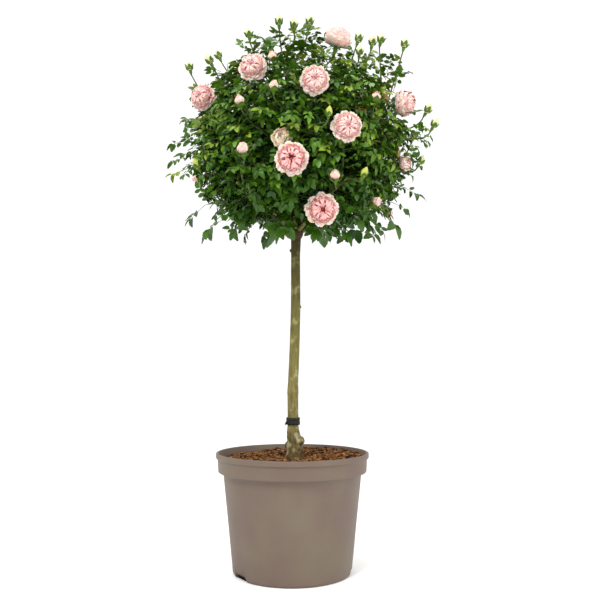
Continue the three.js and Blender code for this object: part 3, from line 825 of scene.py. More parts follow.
def fine_shoot(way, starts, ends, room):
    """One finer shoot with its leaves, or nothing where it has no room."""
    key, outward, lift, reach, size = way
    at = on_crown(outward, lift)
    if at.z < LOWEST_END or (at - FORK).length < FINE["clear_of_fork"] or ends.crowded(at):
        return None
    if reach != SPRAY_REACH and chance(key, 4) < thinning(outward):
        ends.add(at)
        return None
    start = starts.nearest(at)
    line = fine_line(*start, at, outward) if start else None
    if not line:
        return None
    shoot = Shoot(key, line, reach)
    add_fine_leaves(shoot, room, size)
    if not shoot.leaves:
        return None
    ends.add(at)
    return shoot


def grow_fine_shoots(twigs):
    starts = Starts(twigs)
    ends = Spots(FINE["apart"])
    room = Spots(FINE["leaf_apart"])
    for twig in twigs:
        ends.add(twig.at)
        for leaf in twig.leaves:
            room.add_leaf(leaf)
    stalks = [stalk_shoot(twig, room) for twig in twigs if twig.flower and twig.flower.tint == "green"]
    shoots = []
    for ways in [spray_ways()] + [layer_ways(layer) for layer in range(len(FINE_LAYERS))]:
        tried = [fine_shoot(way, starts, ends, room) for way in ways]
        grown = [shoot for shoot in tried if shoot]
        for shoot in grown:
            starts.add_line(shoot.line, 1, 3)
        starts.sort()
        shoots += grown
    return shoots, stalks


# ---------------------------------------------------------------- meshes


def new_object(name, data):
    made = bpy.data.objects.new(name, data)
    bpy.context.scene.collection.objects.link(made)
    return made


class Pile:
    """Points and faces gathered for one joined piece."""

    def __init__(self):
        self.points = []
        self.faces = []
        self.count = 0

    def add(self, points, faces):
        self.points.append(np.array([tuple(point) for point in points], float))
        self.faces.extend([[corner + self.count for corner in face] for face in faces])
        self.count += len(points)

    def piece(self, name, material, slot, replaces=(), soft=True):
        mesh = bpy.data.meshes.new(name)
        mesh.from_pydata((np.concatenate(self.points) * MM).tolist(), [], self.faces)
        mesh.polygons.foreach_set("use_smooth", [soft] * len(mesh.polygons))
        mesh.materials.append(material)
        mesh.update()
        made = new_object(name, mesh)
        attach(made, "root")
        if replaces:
            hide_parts(*replaces)
        return made


def ring_faces(rings, sides):
    """Faces of a closed skin through rings of points."""
    faces = []
    for ring in range(rings - 1):
        for side in range(sides):
            here, after = ring * sides + side, ring * sides + (side + 1) % sides
            faces.append((here, after, after + sides, here + sides))
    return faces + [tuple(reversed(range(sides))), tuple(range((rings - 1) * sides, rings * sides))]


def grid_faces(rows, width, columns):
    """Faces between the rows of a grid that is so many points wide, in the columns named."""
    corners = [row * width + column for row in range(rows - 1) for column in columns]
    return [(here, here + 1, here + width + 1, here + width) for here in corners]


def tube(pile, points, radii, sides):
    """A round tube along points, with a radius at each."""
    made = []
    way = (points[1] - points[0]).normalized()
    first, second = cross_pair(way)
    for k, point in enumerate(points):
        ahead = points[min(k + 1, len(points) - 1)] - points[max(k - 1, 0)]
        turned = way.rotation_difference(ahead.normalized())
        way = ahead.normalized()
        first, second = turned @ first, turned @ second
        for turn in ring_angles(sides):
            made.append(point + (first * math.cos(turn) + second * math.sin(turn)) * radii[k])
    pile.add(made, ring_faces(len(points), sides))


def frame_of(x_axis, z_hint):
    """A turn whose X runs along one way and whose Z is as near as it can be to another."""
    x = x_axis.normalized()
    y = z_hint.cross(x).normalized()
    return Matrix((x, y, x.cross(y))).transposed()


# ---------------------------------------------------------------- leaves


def leaflet_shape(fold, arch, twist):
    """A toothed oval leaflet one unit long, folded along its midrib: points and triangles."""
    teeth = LEAFLET["teeth"]

    def half_width(t):
        return LEAFLET["width"] / 2 * (t**0.6 * (1 - t) ** 0.8) / OVAL_PEAK

    def place(t, y):
        lift = fold * abs(y) - arch * t * t + twist * y * t
        return (t, y, lift)

    points = [place(k / teeth, 0) for k in range(teeth + 1)]
    faces = []
    for side in (1, -1):
        outer = []
        for k in range(teeth):
            if k:
                notch = k / teeth
                outer.append((notch, half_width(notch)))
            tip = (k + 0.72) / teeth
            outer.append((tip, half_width(tip) + LEAFLET["tooth"]))
        base = len(points)
        points += [place(t, side * y) for t, y in outer]

        def notch_at(k):
            return base + 2 * k - 1 if 0 < k < teeth else k

        for k in range(teeth):
            tooth = base + 2 * k
            tooth_faces = [(k, tooth, k + 1)]
            if k:
                tooth_faces.append((k, notch_at(k), tooth))
            if k < teeth - 1:
                tooth_faces.append((k + 1, tooth, notch_at(k + 1)))
            for face in tooth_faces:
                faces.append(face if side < 0 else face[::-1])
    return np.array(points), np.array(faces)


# The leaflets that are drawn: how much of the fold and of the arch each has, and its twist.
LEAFLET_BENDS = [(1, 1, 0), (0.5, 1.8, 0.25), (1.5, 0.3, -0.25), (0.8, -0.6, 0.15), (1.2, 2.2, -0.15)]
LEAFLET_SHAPES = [
    leaflet_shape(LEAFLET["fold"] * fold, LEAFLET["arch"] * arch, twist)
    for fold, arch, twist in LEAFLET_BENDS
]


def add_leaflet(pile, root, heading, face, length, key):
    shape, faces = LEAFLET_SHAPES[int(chance(key, 31) * len(LEAFLET_SHAPES))]
    turn = np.array(frame_of(heading, face)) * length
    pile.points.append(shape @ turn.T + np.array(root))
    pile.faces.extend((faces + pile.count).tolist())
    pile.count += len(shape)


def add_compound_leaf(leaf, key, kind, blades, stalks):
    """Pairs of leaflets and one at the end, on an arched rachis."""

    def rachis(share):
        sag = leaf.face * (-LEAF["droop"] * leaf.length * share * share)
        return leaf.root + leaf.direction * (leaf.length * share) + sag

    shares = (0, 0.5 * kind["end"][0], kind["end"][0])
    tube(stalks, [rachis(share) for share in shares], [RACHIS_RADIUS * 1.4, RACHIS_RADIUS, 0.3], 3)
    headings = [(kind["end"], 0)] + [(pair, side) for pair in kind["pairs"] for side in (1, -1)]
    for k, ((at, size), side) in enumerate(headings):
        along = (leaf.direction - leaf.face * (2 * LEAF["droop"] * at)).normalized()
        splay = math.radians(50 + 22 * chance(key, k, 32))
        way = along * math.cos(splay * abs(side)) + leaf.across * (side * math.sin(splay * abs(side)))
        way = (way + leaf.face * (0.7 * (chance(key, k, 33) - 0.66))).normalized()
        lean = leaf.across * (0.9 * (chance(key, k, 34) - 0.5))
        face = leaf.face + lean - along * (0.7 * (chance(key, k, 35) - 0.45))
        root = rachis(at) + way * (0.03 * leaf.length)
        length = leaf.length * size * (0.84 + 0.3 * chance(key, k, 36))
        add_leaflet(blades, root, way, face, length, key * 7 + k)


# ---------------------------------------------------------------- blooms and buds


PETAL_ROWS, PETAL_COLUMNS, RIM_ROWS = 7, 6, 1
PETAL_U, PETAL_V = np.meshgrid(np.linspace(-1, 1, PETAL_COLUMNS + 1), np.linspace(0, 1, PETAL_ROWS + 1))


def petal(body, rim, length, width, shape, turn, foot):
    """One petal as a grid, with its rim in a pile of its own. Shape is its cup, belly, curl, ruffle and
    the ruffle's phase. Turn and foot bring it to its place."""
    cup, belly, curl, ruffle, phase = shape
    u, v = PETAL_U, PETAL_V
    half = np.where(v < 0.7, 0.16 + 0.84 * np.sin(np.pi / 2 * v / 0.7), 1 - 0.4 * ((v - 0.7) / 0.3) ** 2)
    notch = 0.07 * np.exp(-((u / 0.3) ** 2)) * v**5
    y = u * half * width / 2
    z = length * (v - 0.28 * u * u * np.maximum(0, v - 0.5) - notch)
    x = length * belly * np.sin(np.pi * v) - cup * width / 2 * (u * half) ** 2
    x += length * (4 * curl * np.maximum(0, v - 0.55) ** 2 + ruffle * np.sin(5 * u + phase) * v * v)
    points = np.stack([x, y, z], -1) @ np.array(turn).T + np.array(foot)
    split = PETAL_ROWS - RIM_ROWS
    for pile, rows in ((body, points[: split + 1]), (rim, points[split:])):
        pile.add(rows.reshape(-1, 3), grid_faces(len(rows), PETAL_COLUMNS + 1, range(PETAL_COLUMNS)))


# Rings of petals, from the outside in: how many, how far their tips lie out from the axis and above
# the bloom's middle, their width, cup, belly and curl, how far a petal may turn about itself, and
# which tone of its tint they take. Lengths are shares of the bloom's half width.
BLOOM_RINGS = [
    (8, 0.96, -0.5, 0.8, 0.12, 0.06, 0.2, 8, 0),
    (9, 1.0, -0.26, 0.72, 0.16, 0.06, 0.16, 10, 0),
    (11, 0.93, -0.06, 0.58, 0.2, 0.08, 0.16, 12, 1),
    (12, 0.83, 0.06, 0.5, 0.3, 0.1, 0.14, 16, 1),
    (13, 0.72, 0.15, 0.44, 0.4, 0.12, 0.14, 22, 2),
    (14, 0.61, 0.21, 0.38, 0.5, 0.12, 0.12, 30, 2),
]
# The folded petals at the heart of a bloom, in rounds: how many, the radius of their outer and
# inner ends, and how deep the folds between them are.
FOLD_ROUNDS = [(20, 0.6, 0.28, 0.12), (14, 0.4, 0.12, 0.12), (8, 0.2, 0.02, 0.08)]
FOLD_ROWS = 6
FOLD_SECTION = [(-1.1, 1.0), (-0.78, 0.36), (0, 0), (0.78, 0.36), (1.1, 1.0)]
CUPPED_RINGS = [
    (7, 0.84, -0.44, 0.94, 0.2, 0.12, 0.14, 8, 0),
    (6, 1.0, -0.2, 1.04, 0.2, 0.2, 0.06, 8, 0),
    (7, 0.97, 0.06, 0.96, 0.3, 0.24, 0.02, 10, 0),
    (7, 0.85, 0.3, 0.84, 0.4, 0.26, -0.02, 14, 1),
    (8, 0.68, 0.48, 0.7, 0.5, 0.24, -0.04, 18, 1),
    (8, 0.48, 0.6, 0.56, 0.6, 0.2, -0.04, 22, 2),
    (7, 0.3, 0.66, 0.44, 0.6, 0.16, -0.02, 30, 2),
    (5, 0.12, 0.66, 0.32, 0.6, 0.1, 0, 40, 3),
]
HALF_OPEN_RINGS = [
    (6, 0.84, 0.1, 0.95, 0.3, 0.16, 0.06, 10, 0),
    (7, 0.74, 0.3, 0.85, 0.4, 0.2, -0.02, 14, 0),
    (8, 0.6, 0.42, 0.7, 0.5, 0.2, -0.06, 18, 1),
    (8, 0.46, 0.46, 0.55, 0.6, 0.18, -0.06, 26, 1),
    (8, 0.32, 0.46, 0.44, 0.7, 0.14, -0.06, 40, 2),
    (7, 0.18, 0.42, 0.36, 0.7, 0.1, -0.04, 60, 2),
    (5, 0.07, 0.36, 0.3, 0.6, 0.06, 0, 90, 3),
]
BUD_RINGS = [
    (4, 0.16, 0.92, 1.44, 0.42, 0.36, -0.17, 8, 0),
    (4, 0.11, 1.02, 1.24, 0.4, 0.3, -0.14, 14, 1),
    (3, 0.04, 1.04, 0.86, 0.4, 0.18, -0.05, 30, 1),
]
CUSHION = 0.8  # inside the petals of a flower lies a dome that reaches this share of their tips
# The tones of each tint: the body and the edge of the petals from the rim inward, and the crests and
# the folds of the rounds at the heart, where the folds' darker tone is painted shade.
TINTS = {
    "pale": [("blush", "cream"), ("blush", "cream"), ("pink", "blush"), ("pink", "blush")],
    "rose": [("blush", "cream"), ("pink", "blush"), ("pink", "blush"), ("rose", "pink")],
    "eyed": [("blush", "cream"), ("blush", "cream"), ("pink", "blush"), ("rose", "pink")],
    "cream": [("ivory", "ivory"), ("ivory", "ivory"), ("peach", "ivory"), ("peach", "ivory")],
    "pink": [("bud_pink", "cream"), ("bud_pink", "bud_pink")],
}
HEARTS = {
    "pale": [("blush", "pink"), ("pink", "rose"), ("rose", "deep")],
    "rose": [("blush", "rose"), ("pink", "rose"), ("rose", "deep")],
    "eyed": [("pink", "rose"), ("rose", "deep"), ("heart", "heart")],
}


def bloom_frame(facing):
    across, rising = cross_pair(facing)
    return Matrix((across, rising, facing)).transposed()


def add_petals(flower, rings, base, piles):
    """Rings of petals that spring from a base, given as a share of the half width along the axis."""
    half = 0.5 * flower.width * (DRAWN_BLOOM if flower.bloom else 1)
    turn = bloom_frame(flower.facing)
    foot = flower.at + flower.facing * (base * half)
    for ring, (count, out, up, wide, cup, belly, curl, roll, tone) in enumerate(rings):
        body, rim = TINTS[flower.tint][tone]
        lean, long = math.atan2(out, up - base), math.hypot(out, up - base)
        for k in range(count):
            vary = [2 * chance(flower.key * 10 + ring, k, item) - 1 for item in range(41, 48)]
            azimuth = 2 * math.pi * (k + 0.5 * ring + 0.2 * vary[0]) / count
            spin = Matrix.Rotation(azimuth, 3, "Z") @ Matrix.Rotation(lean + 0.09 * vary[1], 3, "Y")
            spin = turn @ spin @ Matrix.Rotation(math.radians(roll) * vary[2], 3, "Z")
            length = long * half * (1 + 0.05 * vary[3])
            width = wide * half * (1 + 0.08 * vary[4])
            shape = (cup, belly, curl * (1 + 0.6 * vary[5]), 0.035, 3.14 * vary[6])
            petal(piles[body], piles[rim], length, width, shape, spin, foot)
    reach = half / flower.width * CUSHION
    inner = [ring for ring in rings if ring[1] < 0.9]
    profile = [(ring[1] * reach, base * half / flower.width + (ring[2] - base) * reach) for ring in inner]
    lathe_swirl(piles[TINTS[flower.tint][-1][0]], flower, profile, 24)


def heart_height(radius):
    """How high the folded petals of an open bloom stand, with a pit in their middle."""
    return 0.34 - 0.3 * radius**2 - 0.26 * math.exp(-((radius / 0.17) ** 2))


def add_heart(flower, piles):
    """Rounds of petals folded along their length, with their crests running out from the middle."""
    half = 0.5 * flower.width * DRAWN_BLOOM
    turn = bloom_frame(flower.facing)
    for item, (count, outer, inner, deep) in enumerate(FOLD_ROUNDS):
        crest_tone, fold_shade_tone = HEARTS[flower.tint][item]
        for k in range(count):
            vary = [2 * chance(flower.key * 10 + item, k, which) - 1 for which in range(61, 66)]
            middle = 2 * math.pi * (k + 0.34 * vary[0]) / count
            rows = []
            for row in range(FOLD_ROWS + 1):
                share = row / FOLD_ROWS
                radius = mix(outer * (1 + 0.06 * vary[1]), inner, share)
                crest = heart_height(radius) + 0.05 * vary[2] - 0.16 * (1 - min(1, share * 3)) ** 2
                azimuth = middle + 0.3 * vary[3] * share
                wide = math.pi / count * (1 - 0.4 * (1 - min(1, share * 3)) ** 2)
                fall = deep * min(1, 0.3 + radius)
                for side, drop in FOLD_SECTION:
                    angle = azimuth + side * wide
                    place = around(radius, angle, crest - drop * fall)
                    rows.append(flower.at + turn @ (place * half))
            # the faces down in the folds take the darker tone, as painted shade
            for tone, columns in ((fold_shade_tone, (0, 3)), (crest_tone, (1, 2))):
                piles[tone].add(rows, grid_faces(FOLD_ROWS + 1, len(FOLD_SECTION), columns))
    # the floor under the folded petals takes a darker fold tone, as painted shade
    wide, tall = 0.55 * half / flower.width, half / flower.width
    floor = [(wide * share, tall * (heart_height(0.55 * share) - 0.2)) for share in (1.4, 0.9, 0.5, 0.1)]
    lathe_swirl(piles[HEARTS[flower.tint][1][1]], flower, floor, 20)


def lathe_swirl(pile, flower, profile, sides, swirl=0):
    """A body of revolution about a flower's axis, with folds that wind round it."""
    turn = bloom_frame(flower.facing)
    points = []
    for radius, height in profile:
        for angle in ring_angles(sides):
            fold = 1 + swirl * ((3 * angle / (2 * math.pi) + 1.4 * height) % 1 - 0.5)
            place = around(radius * fold * flower.width, angle, height * flower.width)
            points.append(flower.at + turn @ place)
    pile.add(points, ring_faces(len(profile), sides))


SEPALS = 5
SEPAL_LENGTH = 15
SEPAL_HALVES = [1.8, 2.4, 2.1, 1.2, 0.5, 0.1]
# Along a sepal that hugs its bud: the share of its length, and its half width in degrees round the bud.
HUG_ROWS = [(0, 37), (0.2, 37), (0.4, 36), (0.6, 30), (0.78, 20), (0.9, 10), (1, 2)]
HUG_LIFT = 0.035  # how far such a sepal lies over the bud, as a share of its width
# Sections of buds and hips: radius and height as shares of the width.
GREEN_BUD = [
    (0.14, -0.4), (0.3, -0.32), (0.42, -0.16), (0.47, 0.04),
    (0.45, 0.26), (0.36, 0.5), (0.2, 0.74), (0.05, 0.92),
]
PINK_CUP = [(0.14, -0.5), (0.32, -0.44), (0.44, -0.3), (0.5, -0.14), (0.51, 0.0)]
HIP = [(0.09, -0.98), (0.12, -0.84), (0.18, -0.68), (0.22, -0.54), (0.2, -0.44), (0.14, -0.36)]
HIP_FOOT = {"bloom": 0.36, "pink": 0.76, "green": 0.94}  # how far under a flower its stalk ends


def add_sepals(flower, pile, foot, lean, bend):
    """Narrow sepals that spring from under an open flower and fold back, with angles in degrees."""
    turn = bloom_frame(flower.facing)
    rows = len(SEPAL_HALVES)
    step = SEPAL_LENGTH / (rows - 1)
    for k in range(SEPALS):
        spin = turn @ Matrix.Rotation(2 * math.pi * (k + 0.3 * chance(flower.key, k, 51)) / SEPALS, 3, "Z")
        points = []
        out, rise = 0.12 * flower.width, foot * flower.width
        for row, half in enumerate(SEPAL_HALVES):
            angle = math.radians(lean + bend * row / rows + 16 * chance(flower.key, k, 52))
            places = [vec(out - abs(side) * 0.6, side * half, rise) for side in (-1, 0, 1)]
            points += [flower.at + spin @ place for place in places]
            out += step * math.sin(angle)
            rise += step * math.cos(angle)
        pile.add(points, grid_faces(rows, 3, (0, 1)))


def add_hugging_sepals(flower, pile, profile, low, high, free):
    """Sepals that lie on a bud's own shape up to some height, with tips that stand free."""
    turn = bloom_frame(flower.facing)
    radii, heights = zip(*profile)
    for k in range(SEPALS):
        middle = 2 * math.pi * (k + 0.2 * chance(flower.key, k, 51)) / SEPALS
        last = mix(low, high, chance(flower.key, k, 53))
        points = []
        for share, half in HUG_ROWS:
            height = mix(heights[0], last, share)
            radius = float(np.interp(height, heights, radii)) + HUG_LIFT + free * max(0, share - 0.7)
            for side in (-1, 0, 1):
                place = around(radius, middle + side * math.radians(half), height)
                points.append(flower.at + turn @ (place * flower.width))
        pile.add(points, grid_faces(len(HUG_ROWS), 3, (0, 1)))


def add_hip(flower, pile, wide=1, tall=1, drop=0):
    """The slim hip under a flower, with its section resized and lowered."""
    lathe_swirl(pile, flower, [(wide * radius, tall * height - drop) for radius, height in HIP], 10)


def add_flower(flower, piles):
    green = piles["sepal"]
    if flower.open and flower.key in CUPPED:
        add_petals(flower, CUPPED_RINGS, -0.6, piles)
        add_sepals(flower, green, -0.28, 80, 50)
        add_hip(flower, green, 0.36, 0.5, 0.1)
    elif flower.open:
        add_petals(flower, BLOOM_RINGS, -0.5, piles)
        add_heart(flower, piles)
        add_sepals(flower, green, -0.24, 110, 50)
        add_hip(flower, green, 0.36, 0.4, 0.08)
    elif flower.bloom:
        add_petals(flower, HALF_OPEN_RINGS, -0.8, piles)
        add_sepals(flower, green, -0.36, 60, 60)
        add_hip(flower, green, 0.6, 0.5, 0.16)
    elif flower.tint == "pink":
        add_petals(flower, BUD_RINGS, -0.9, piles)
        add_hugging_sepals(flower, green, PINK_CUP, -0.16, 0.12, 0.6)
        add_hip(flower, green, 0.8, 0.6, 0.22)
    else:
        lathe_swirl(piles["bud_" + flower.tint], flower, GREEN_BUD, 18, 0.1)
        add_hugging_sepals(flower, green, GREEN_BUD, 0.2, 0.6, 0.6)
        add_hip(flower, green)


# ---------------------------------------------------------------- wood


def stalk_points(twig):
    """Points along a twig, led gently to the hip of its flower."""
    flower = twig.flower
    if not flower:
        return twig.line.points(12)
    kind = "bloom" if flower.bloom else "pink" if flower.tint == "pink" else "green"
    shift = flower.at - flower.facing * (HIP_FOOT[kind] * flower.width) - twig.line.point(1)
    return [twig.line.point(k / 14) + shift * (k / 14) ** 2 for k in range(15)]


def add_twig(twig, pile):
    points = stalk_points(twig)
    thick, thin = TWIG["radius"] * DRAWN_WOOD["twig"], DRAWN_WOOD["twig_tip"]
    radii = [mix(thick, thin, k / (len(points) - 1)) for k in range(len(points))]
    tube(pile, points, radii, 7)


def add_prickle(pile, point, outward, way, size):
    """A small hooked prickle on the wood."""
    along = way * (size * 0.5)
    aside = way.cross(outward).normalized() * (size * 0.22)
    tip = point + outward * size - way * (size * 0.35)
    foot = [point + along, point + aside, point - along, point - aside]
    pile.add(foot + [tip], [(0, 1, 4), (1, 2, 4), (2, 3, 4), (3, 0, 4)])


LIMB_BANDS = 30
PRICKLES = {"count": 5, "first": 6, "spacing": 5, "size": 2.6}


def add_limb(limb, key, boughs, prickles):
    start = 0.5 * GRAFT["radius"] / limb.reach
    points, radii = [], []
    for k in range(LIMB_BANDS + 1):
        share = start + (LIMB["end"] - start) * k / LIMB_BANDS
        points.append(limb.point(share))
        swelling = 0.9 * math.exp(-((share - start) / 0.05))
        rough = 0.25 * noise.noise(limb.point(share) * 0.35)
        even = mix(LIMB["radius"] + DRAWN_WOOD["limb_more"], DRAWN_WOOD["limb_tip"], share / LIMB["end"])
        radii.append(even + swelling + rough)
    tube(boughs, points, radii, 12)
    for k in range(PRICKLES["count"]):
        place = PRICKLES["first"] + k * PRICKLES["spacing"] + int(3 * chance(key, k, 61))
        way = (points[place] - points[place - 1]).normalized()
        first, second = cross_pair(way)
        turn = 2 * math.pi * chance(key, k, 62)
        outward = first * math.cos(turn) + second * math.sin(turn)
        add_prickle(prickles, points[place] + outward * (radii[place] * 0.85), outward, way, PRICKLES["size"])


TRUNK = {"foot": 183, "sides": 60, "band": 1.7, "rugged": (232, 262), "old": (540, 575), "blend": 2.2}


def stem_radius(height, heading, base, middle):
    """The stem's radius at a height towards a heading, with its knots and graft blended in."""
    radius = base
    blend = TRUNK["blend"]
    for at, size in KNOTS + [(GRAFT["at"], GRAFT["radius"])]:
        offset = Vector(at) - vec(middle, 0, height)
        level = size * size - offset.z * offset.z
        if level <= 0:
            continue
        along = offset.x * heading.x + offset.y * heading.y
        aside = level - (offset.x**2 + offset.y**2 - along * along)
        if aside > 0:
            out = along + math.sqrt(aside)
            share = clamp(0.5 + 0.5 * (out - radius) / blend, 0, 1)
            radius = mix(radius, out, share) + blend * share * (1 - share) * 0.5
    return radius


def bark_relief(heading, height):
    """How far the bark stands out: fissured and knotted at the foot, finely lined higher up."""
    rugged = 1 - smooth(*TRUNK["rugged"], height)
    old = 0.35 + 0.65 * smooth(*TRUNK["old"], height)
    spot = vec(heading.x * 9, heading.y * 9, height)
    lumps = noise.fractal(spot * 0.075, 1.0, 2.1, 4)
    fissure = abs(noise.noise(vec(spot.x * 0.42, spot.y * 0.42, height * 0.06)))
    grain = noise.noise(vec(spot.x * 1.1, spot.y * 1.1, height * 0.12))
    scar = noise.noise(vec(spot.x * 0.12, spot.y * 0.12, height * 0.55))
    relief = rugged * (1.5 * lumps - 1.3 * smooth(0.12, 0, fissure))
    return relief + (0.28 * grain * old + 0.3 * smooth(0.35, 0.6, scar) + 0.35 * lumps * old)


def make_stem(material):
    """The trunk, from below the compost to the top of the graft."""
    pile = Pile()
    heights, middles, radii = zip(*STEM)
    foot, graft = TRUNK["foot"], GRAFT["at"][2]
    top = graft + GRAFT["radius"] - 0.15
    count = int((top - foot) / TRUNK["band"])
    points = []
    for ring in range(count + 1):
        height = foot + (top - foot) * ring / count
        spread = [height + d for d in (-5, -2.5, 0, 2.5, 5)]
        middle = float(np.mean(np.interp(spread, heights, middles)))
        base = float(np.mean(np.interp(spread, heights, radii)))
        if height > graft:
            base = math.sqrt(max(0.01, GRAFT["radius"] ** 2 - (height - graft) ** 2)) * 0.98
        for turn in ring_angles(TRUNK["sides"]):
            heading = around(1, turn)
            radius = stem_radius(height, heading, base, middle) + bark_relief(heading, height)
            radius = max(0.3, radius)
            points.append((middle + heading.x * radius, heading.y * radius, height))
    pile.add(points, ring_faces(count + 1, TRUNK["sides"]))
    pile.piece("trunk", material, "bark", ["stem"])


# ---------------------------------------------------------------- tie, pot and compost


BOX_FACES = [(0, 1, 2, 3), (7, 6, 5, 4), (0, 4, 5, 1), (1, 5, 6, 2), (2, 6, 7, 3), (3, 7, 4, 0)]
TIE_TURNS = [(0.25, 0.0, 0.06), (-0.25, 0.25, -0.05)]  # lift as a share of the height, growth and slope
TIE_END = [(-9.5, -7.6, -1), (-12.2, -5.6, -2.5), (-14, -4.6, -6)]  # from the middle of the tie


def make_tie(material):
    """Two overlapping turns of tape, with a tucked end."""
    pile = Pile()
    sides = 64
    half = TIE["height"] * 0.25
    for share, grow, slope in TIE_TURNS:
        lift = TIE["height"] * share
        inner, outer = TIE["inner"] - 0.4, TIE["outer"]
        bulge = [(-0.5, -1), (-0.1, -0.6), (0, 0), (-0.1, 0.6), (-0.5, 1)]
        section = [(inner, -half)] + [(outer + r + grow, half * z) for r, z in bulge] + [(inner, half)]
        points = []
        for turn in ring_angles(sides):
            wobble = 0.25 * math.sin(5 * turn + lift) + 0.15 * math.sin(9 * turn)
            for radius, height in section:
                r = radius + 0.12 * math.sin(11 * turn + height)
                z = TIE["z"] + lift + height * (1 + 0.05 * math.sin(3 * turn)) + wobble
                z += slope * 10 * math.sin(turn)
                points.append(vec(TIE["x"] + r * math.cos(turn), r * math.sin(turn), z))
        count = len(section)
        faces = []
        for side in range(sides):
            near, far = side * count, (side + 1) % sides * count
            for k in range(count):
                after = (k + 1) % count
                faces.append((near + k, far + k, far + after, near + after))
        pile.add(points, faces)
    for a, b in lines_through([vec(TIE["x"] + x, y, TIE["z"] + z) for x, y, z in TIE_END]):
        wide = vec(0, 0, 2.1)
        thick = (b - a).cross(wide).normalized() * 0.35
        corners = [a - wide, a + wide, b + wide * 0.9, b - wide * 0.9]
        pile.add([c + thick for c in corners] + [c - thick for c in corners], BOX_FACES)
    pile.piece("tape_tie", material, "tie_tape", ["stem_tie"])


def arc(centre, radius, start, end, steps):
    """Points of a round corner, with angles in degrees from outward towards up."""
    made = []
    for k in range(steps + 1):
        angle = math.radians(start + (end - start) * k / steps)
        made.append((centre[0] + radius * math.cos(angle), centre[1] + radius * math.sin(angle)))
    return made


def pot_profile():
    """The pot's section from the middle of its foot, up the outside, over the lip and down inside."""
    rim, collar, wall = POT["rim"], POT["collar"], POT["wall"]
    top = POT["height"]
    lip_foot = top - POT["lip_height"]
    collar_foot = lip_foot - POT["collar_height"]
    slope = (POT["shoulder"] - POT["foot"]) / collar_foot
    corner = POT["corner"]
    outside = [(0, 2.5), (POT["foot"] - 14, 2.5), (POT["foot"] - 12, 0.4), (POT["foot"] - corner - 2, 0)]
    outside += arc((POT["foot"] - corner + slope * corner, corner), corner, -80, 0, 6)
    outside += [(POT["foot"] + slope * z, z) for z in (20, 60, 100, 130, 150, collar_foot - 8)]
    outside += [(POT["shoulder"] - 0.2, collar_foot - 1.6), (POT["shoulder"] + 0.8, collar_foot - 0.2)]
    outside += arc((collar - 1.8, collar_foot + 1.8), 1.8, -85, 0, 5)
    outside += [(collar + 0.5, collar_foot + 10), (collar + 1, lip_foot - 1.6)]
    outside += [(collar + 1.3, lip_foot - 0.3)]
    outside += arc((rim - 1.6, lip_foot + 1.6), 1.6, -85, 0, 5)
    outside += arc((rim - 1.8, top - 1.8), 1.8, 0, 90, 6)
    inner_top = rim - wall - 1.4
    inside = arc((inner_top + 1.2, top - 1.2), 1.2, 90, 180, 4)
    inside += [(collar - wall + 0.6, lip_foot - 3), (collar - wall - 0.5, collar_foot + 4)]
    inside += [(POT["shoulder"] - wall, collar_foot - 3), (POT["foot"] - wall, wall + 3), (0, wall + 3)]
    return outside + inside


def add_drain(azimuth, cutters, shade_plugs):
    """The block that cuts one drain notch, and the dark block behind it: compost and painted shade."""
    spin = Matrix.Rotation(math.radians(azimuth), 3, "Z")
    half, deep, tall = DRAIN["width"] / 2, DRAIN["depth"] / 2, DRAIN["height"]
    side, inner, outer = half - 0.5, deep - 0.4 - POT["foot"], deep - 1.6 - POT["foot"]
    # a compost-dark block just inside the notch: compost and painted shade seen through the drain
    shade_plug = [(-side, outer), (side, outer), (side, inner), (-side, inner)]
    shade_plugs.add([spin @ vec(x, y, z) for z in (0.5, tall - 0.4) for x, y in shade_plug], ring_faces(2, 4))
    notch = [(-half, -5), (half, -5), (half, tall - 4), (half - 4, tall), (4 - half, tall), (-half, tall - 4)]
    corners = [spin @ vec(x, y - POT["foot"], z) for y in (deep, -deep) for x, z in notch]
    cutters.add(corners, ring_faces(2, 6))


def make_pot(material, compost):
    pile, cutters, shade_plugs = Pile(), Pile(), Pile()
    sides = 160
    profile = pot_profile()
    points = [around(max(radius, 0.01), turn, z) for radius, z in profile for turn in ring_angles(sides)]
    pile.add(points, ring_faces(len(profile), sides))
    pot = pile.piece("nursery_pot", material, "pot_plastic", ["pot"])
    for azimuth in DRAIN["azimuths"]:
        add_drain(azimuth, cutters, shade_plugs)
    # the dark blocks in the drains are compost and painted shade
    shade_plugs.piece("drain_compost_and_shade", compost, "compost")
    cutter = cutters.piece("drain_cutter", material, "pot_plastic")
    cut = pot.modifiers.new("drains", "BOOLEAN")
    cut.operation = "DIFFERENCE"
    cut.solver = "EXACT"
    cut.object = cutter
    bpy.context.view_layer.update()
    evaluated = pot.evaluated_get(bpy.context.evaluated_depsgraph_get())
    pot.data = bpy.data.meshes.new_from_object(evaluated)
    pot.modifiers.clear()
    bpy.data.objects.remove(cutter)


SOIL_EDGE = POT["collar"] - POT["wall"] - 1.2
BED = {"rings": 44, "sides": 96, "foot": 160, "foot_share": 0.88}
CHIPS = {"count": 6500, "size": 0.8, "more": 1.5, "shape": (1.35, 0.9, 0.55)}
CHIP_CORNERS = [(x, y, z) for z in (-1, 1) for x, y in ((-1, -1), (-1, 1), (1, 1), (1, -1))]
THREADS = {"count": 420, "radii": [0.3, 0.42, 0.4, 0.22], "steps": [-1, -0.4, 0.3, 1]}


def soil_height(x, y):
    away = smooth(SOIL["flat"], 60, math.hypot(x - STEM[0][1], y))
    broad = math.sin(x * 0.11 + 1.3) * math.cos(y * 0.13 + 0.4)
    fine = math.sin(x * 0.23 - y * 0.19)
    mound = max(0, (x * 0.7 + y * 0.7) / POT["rim"])
    return SOIL["level"] + away * (SOIL["lump"] * (0.6 * broad + 0.36 * fine) + SOIL["mound"] * mound)


def in_stem(x, y, margin):
    return math.hypot(x - STEM[0][1], y) < STEM[0][2] + margin


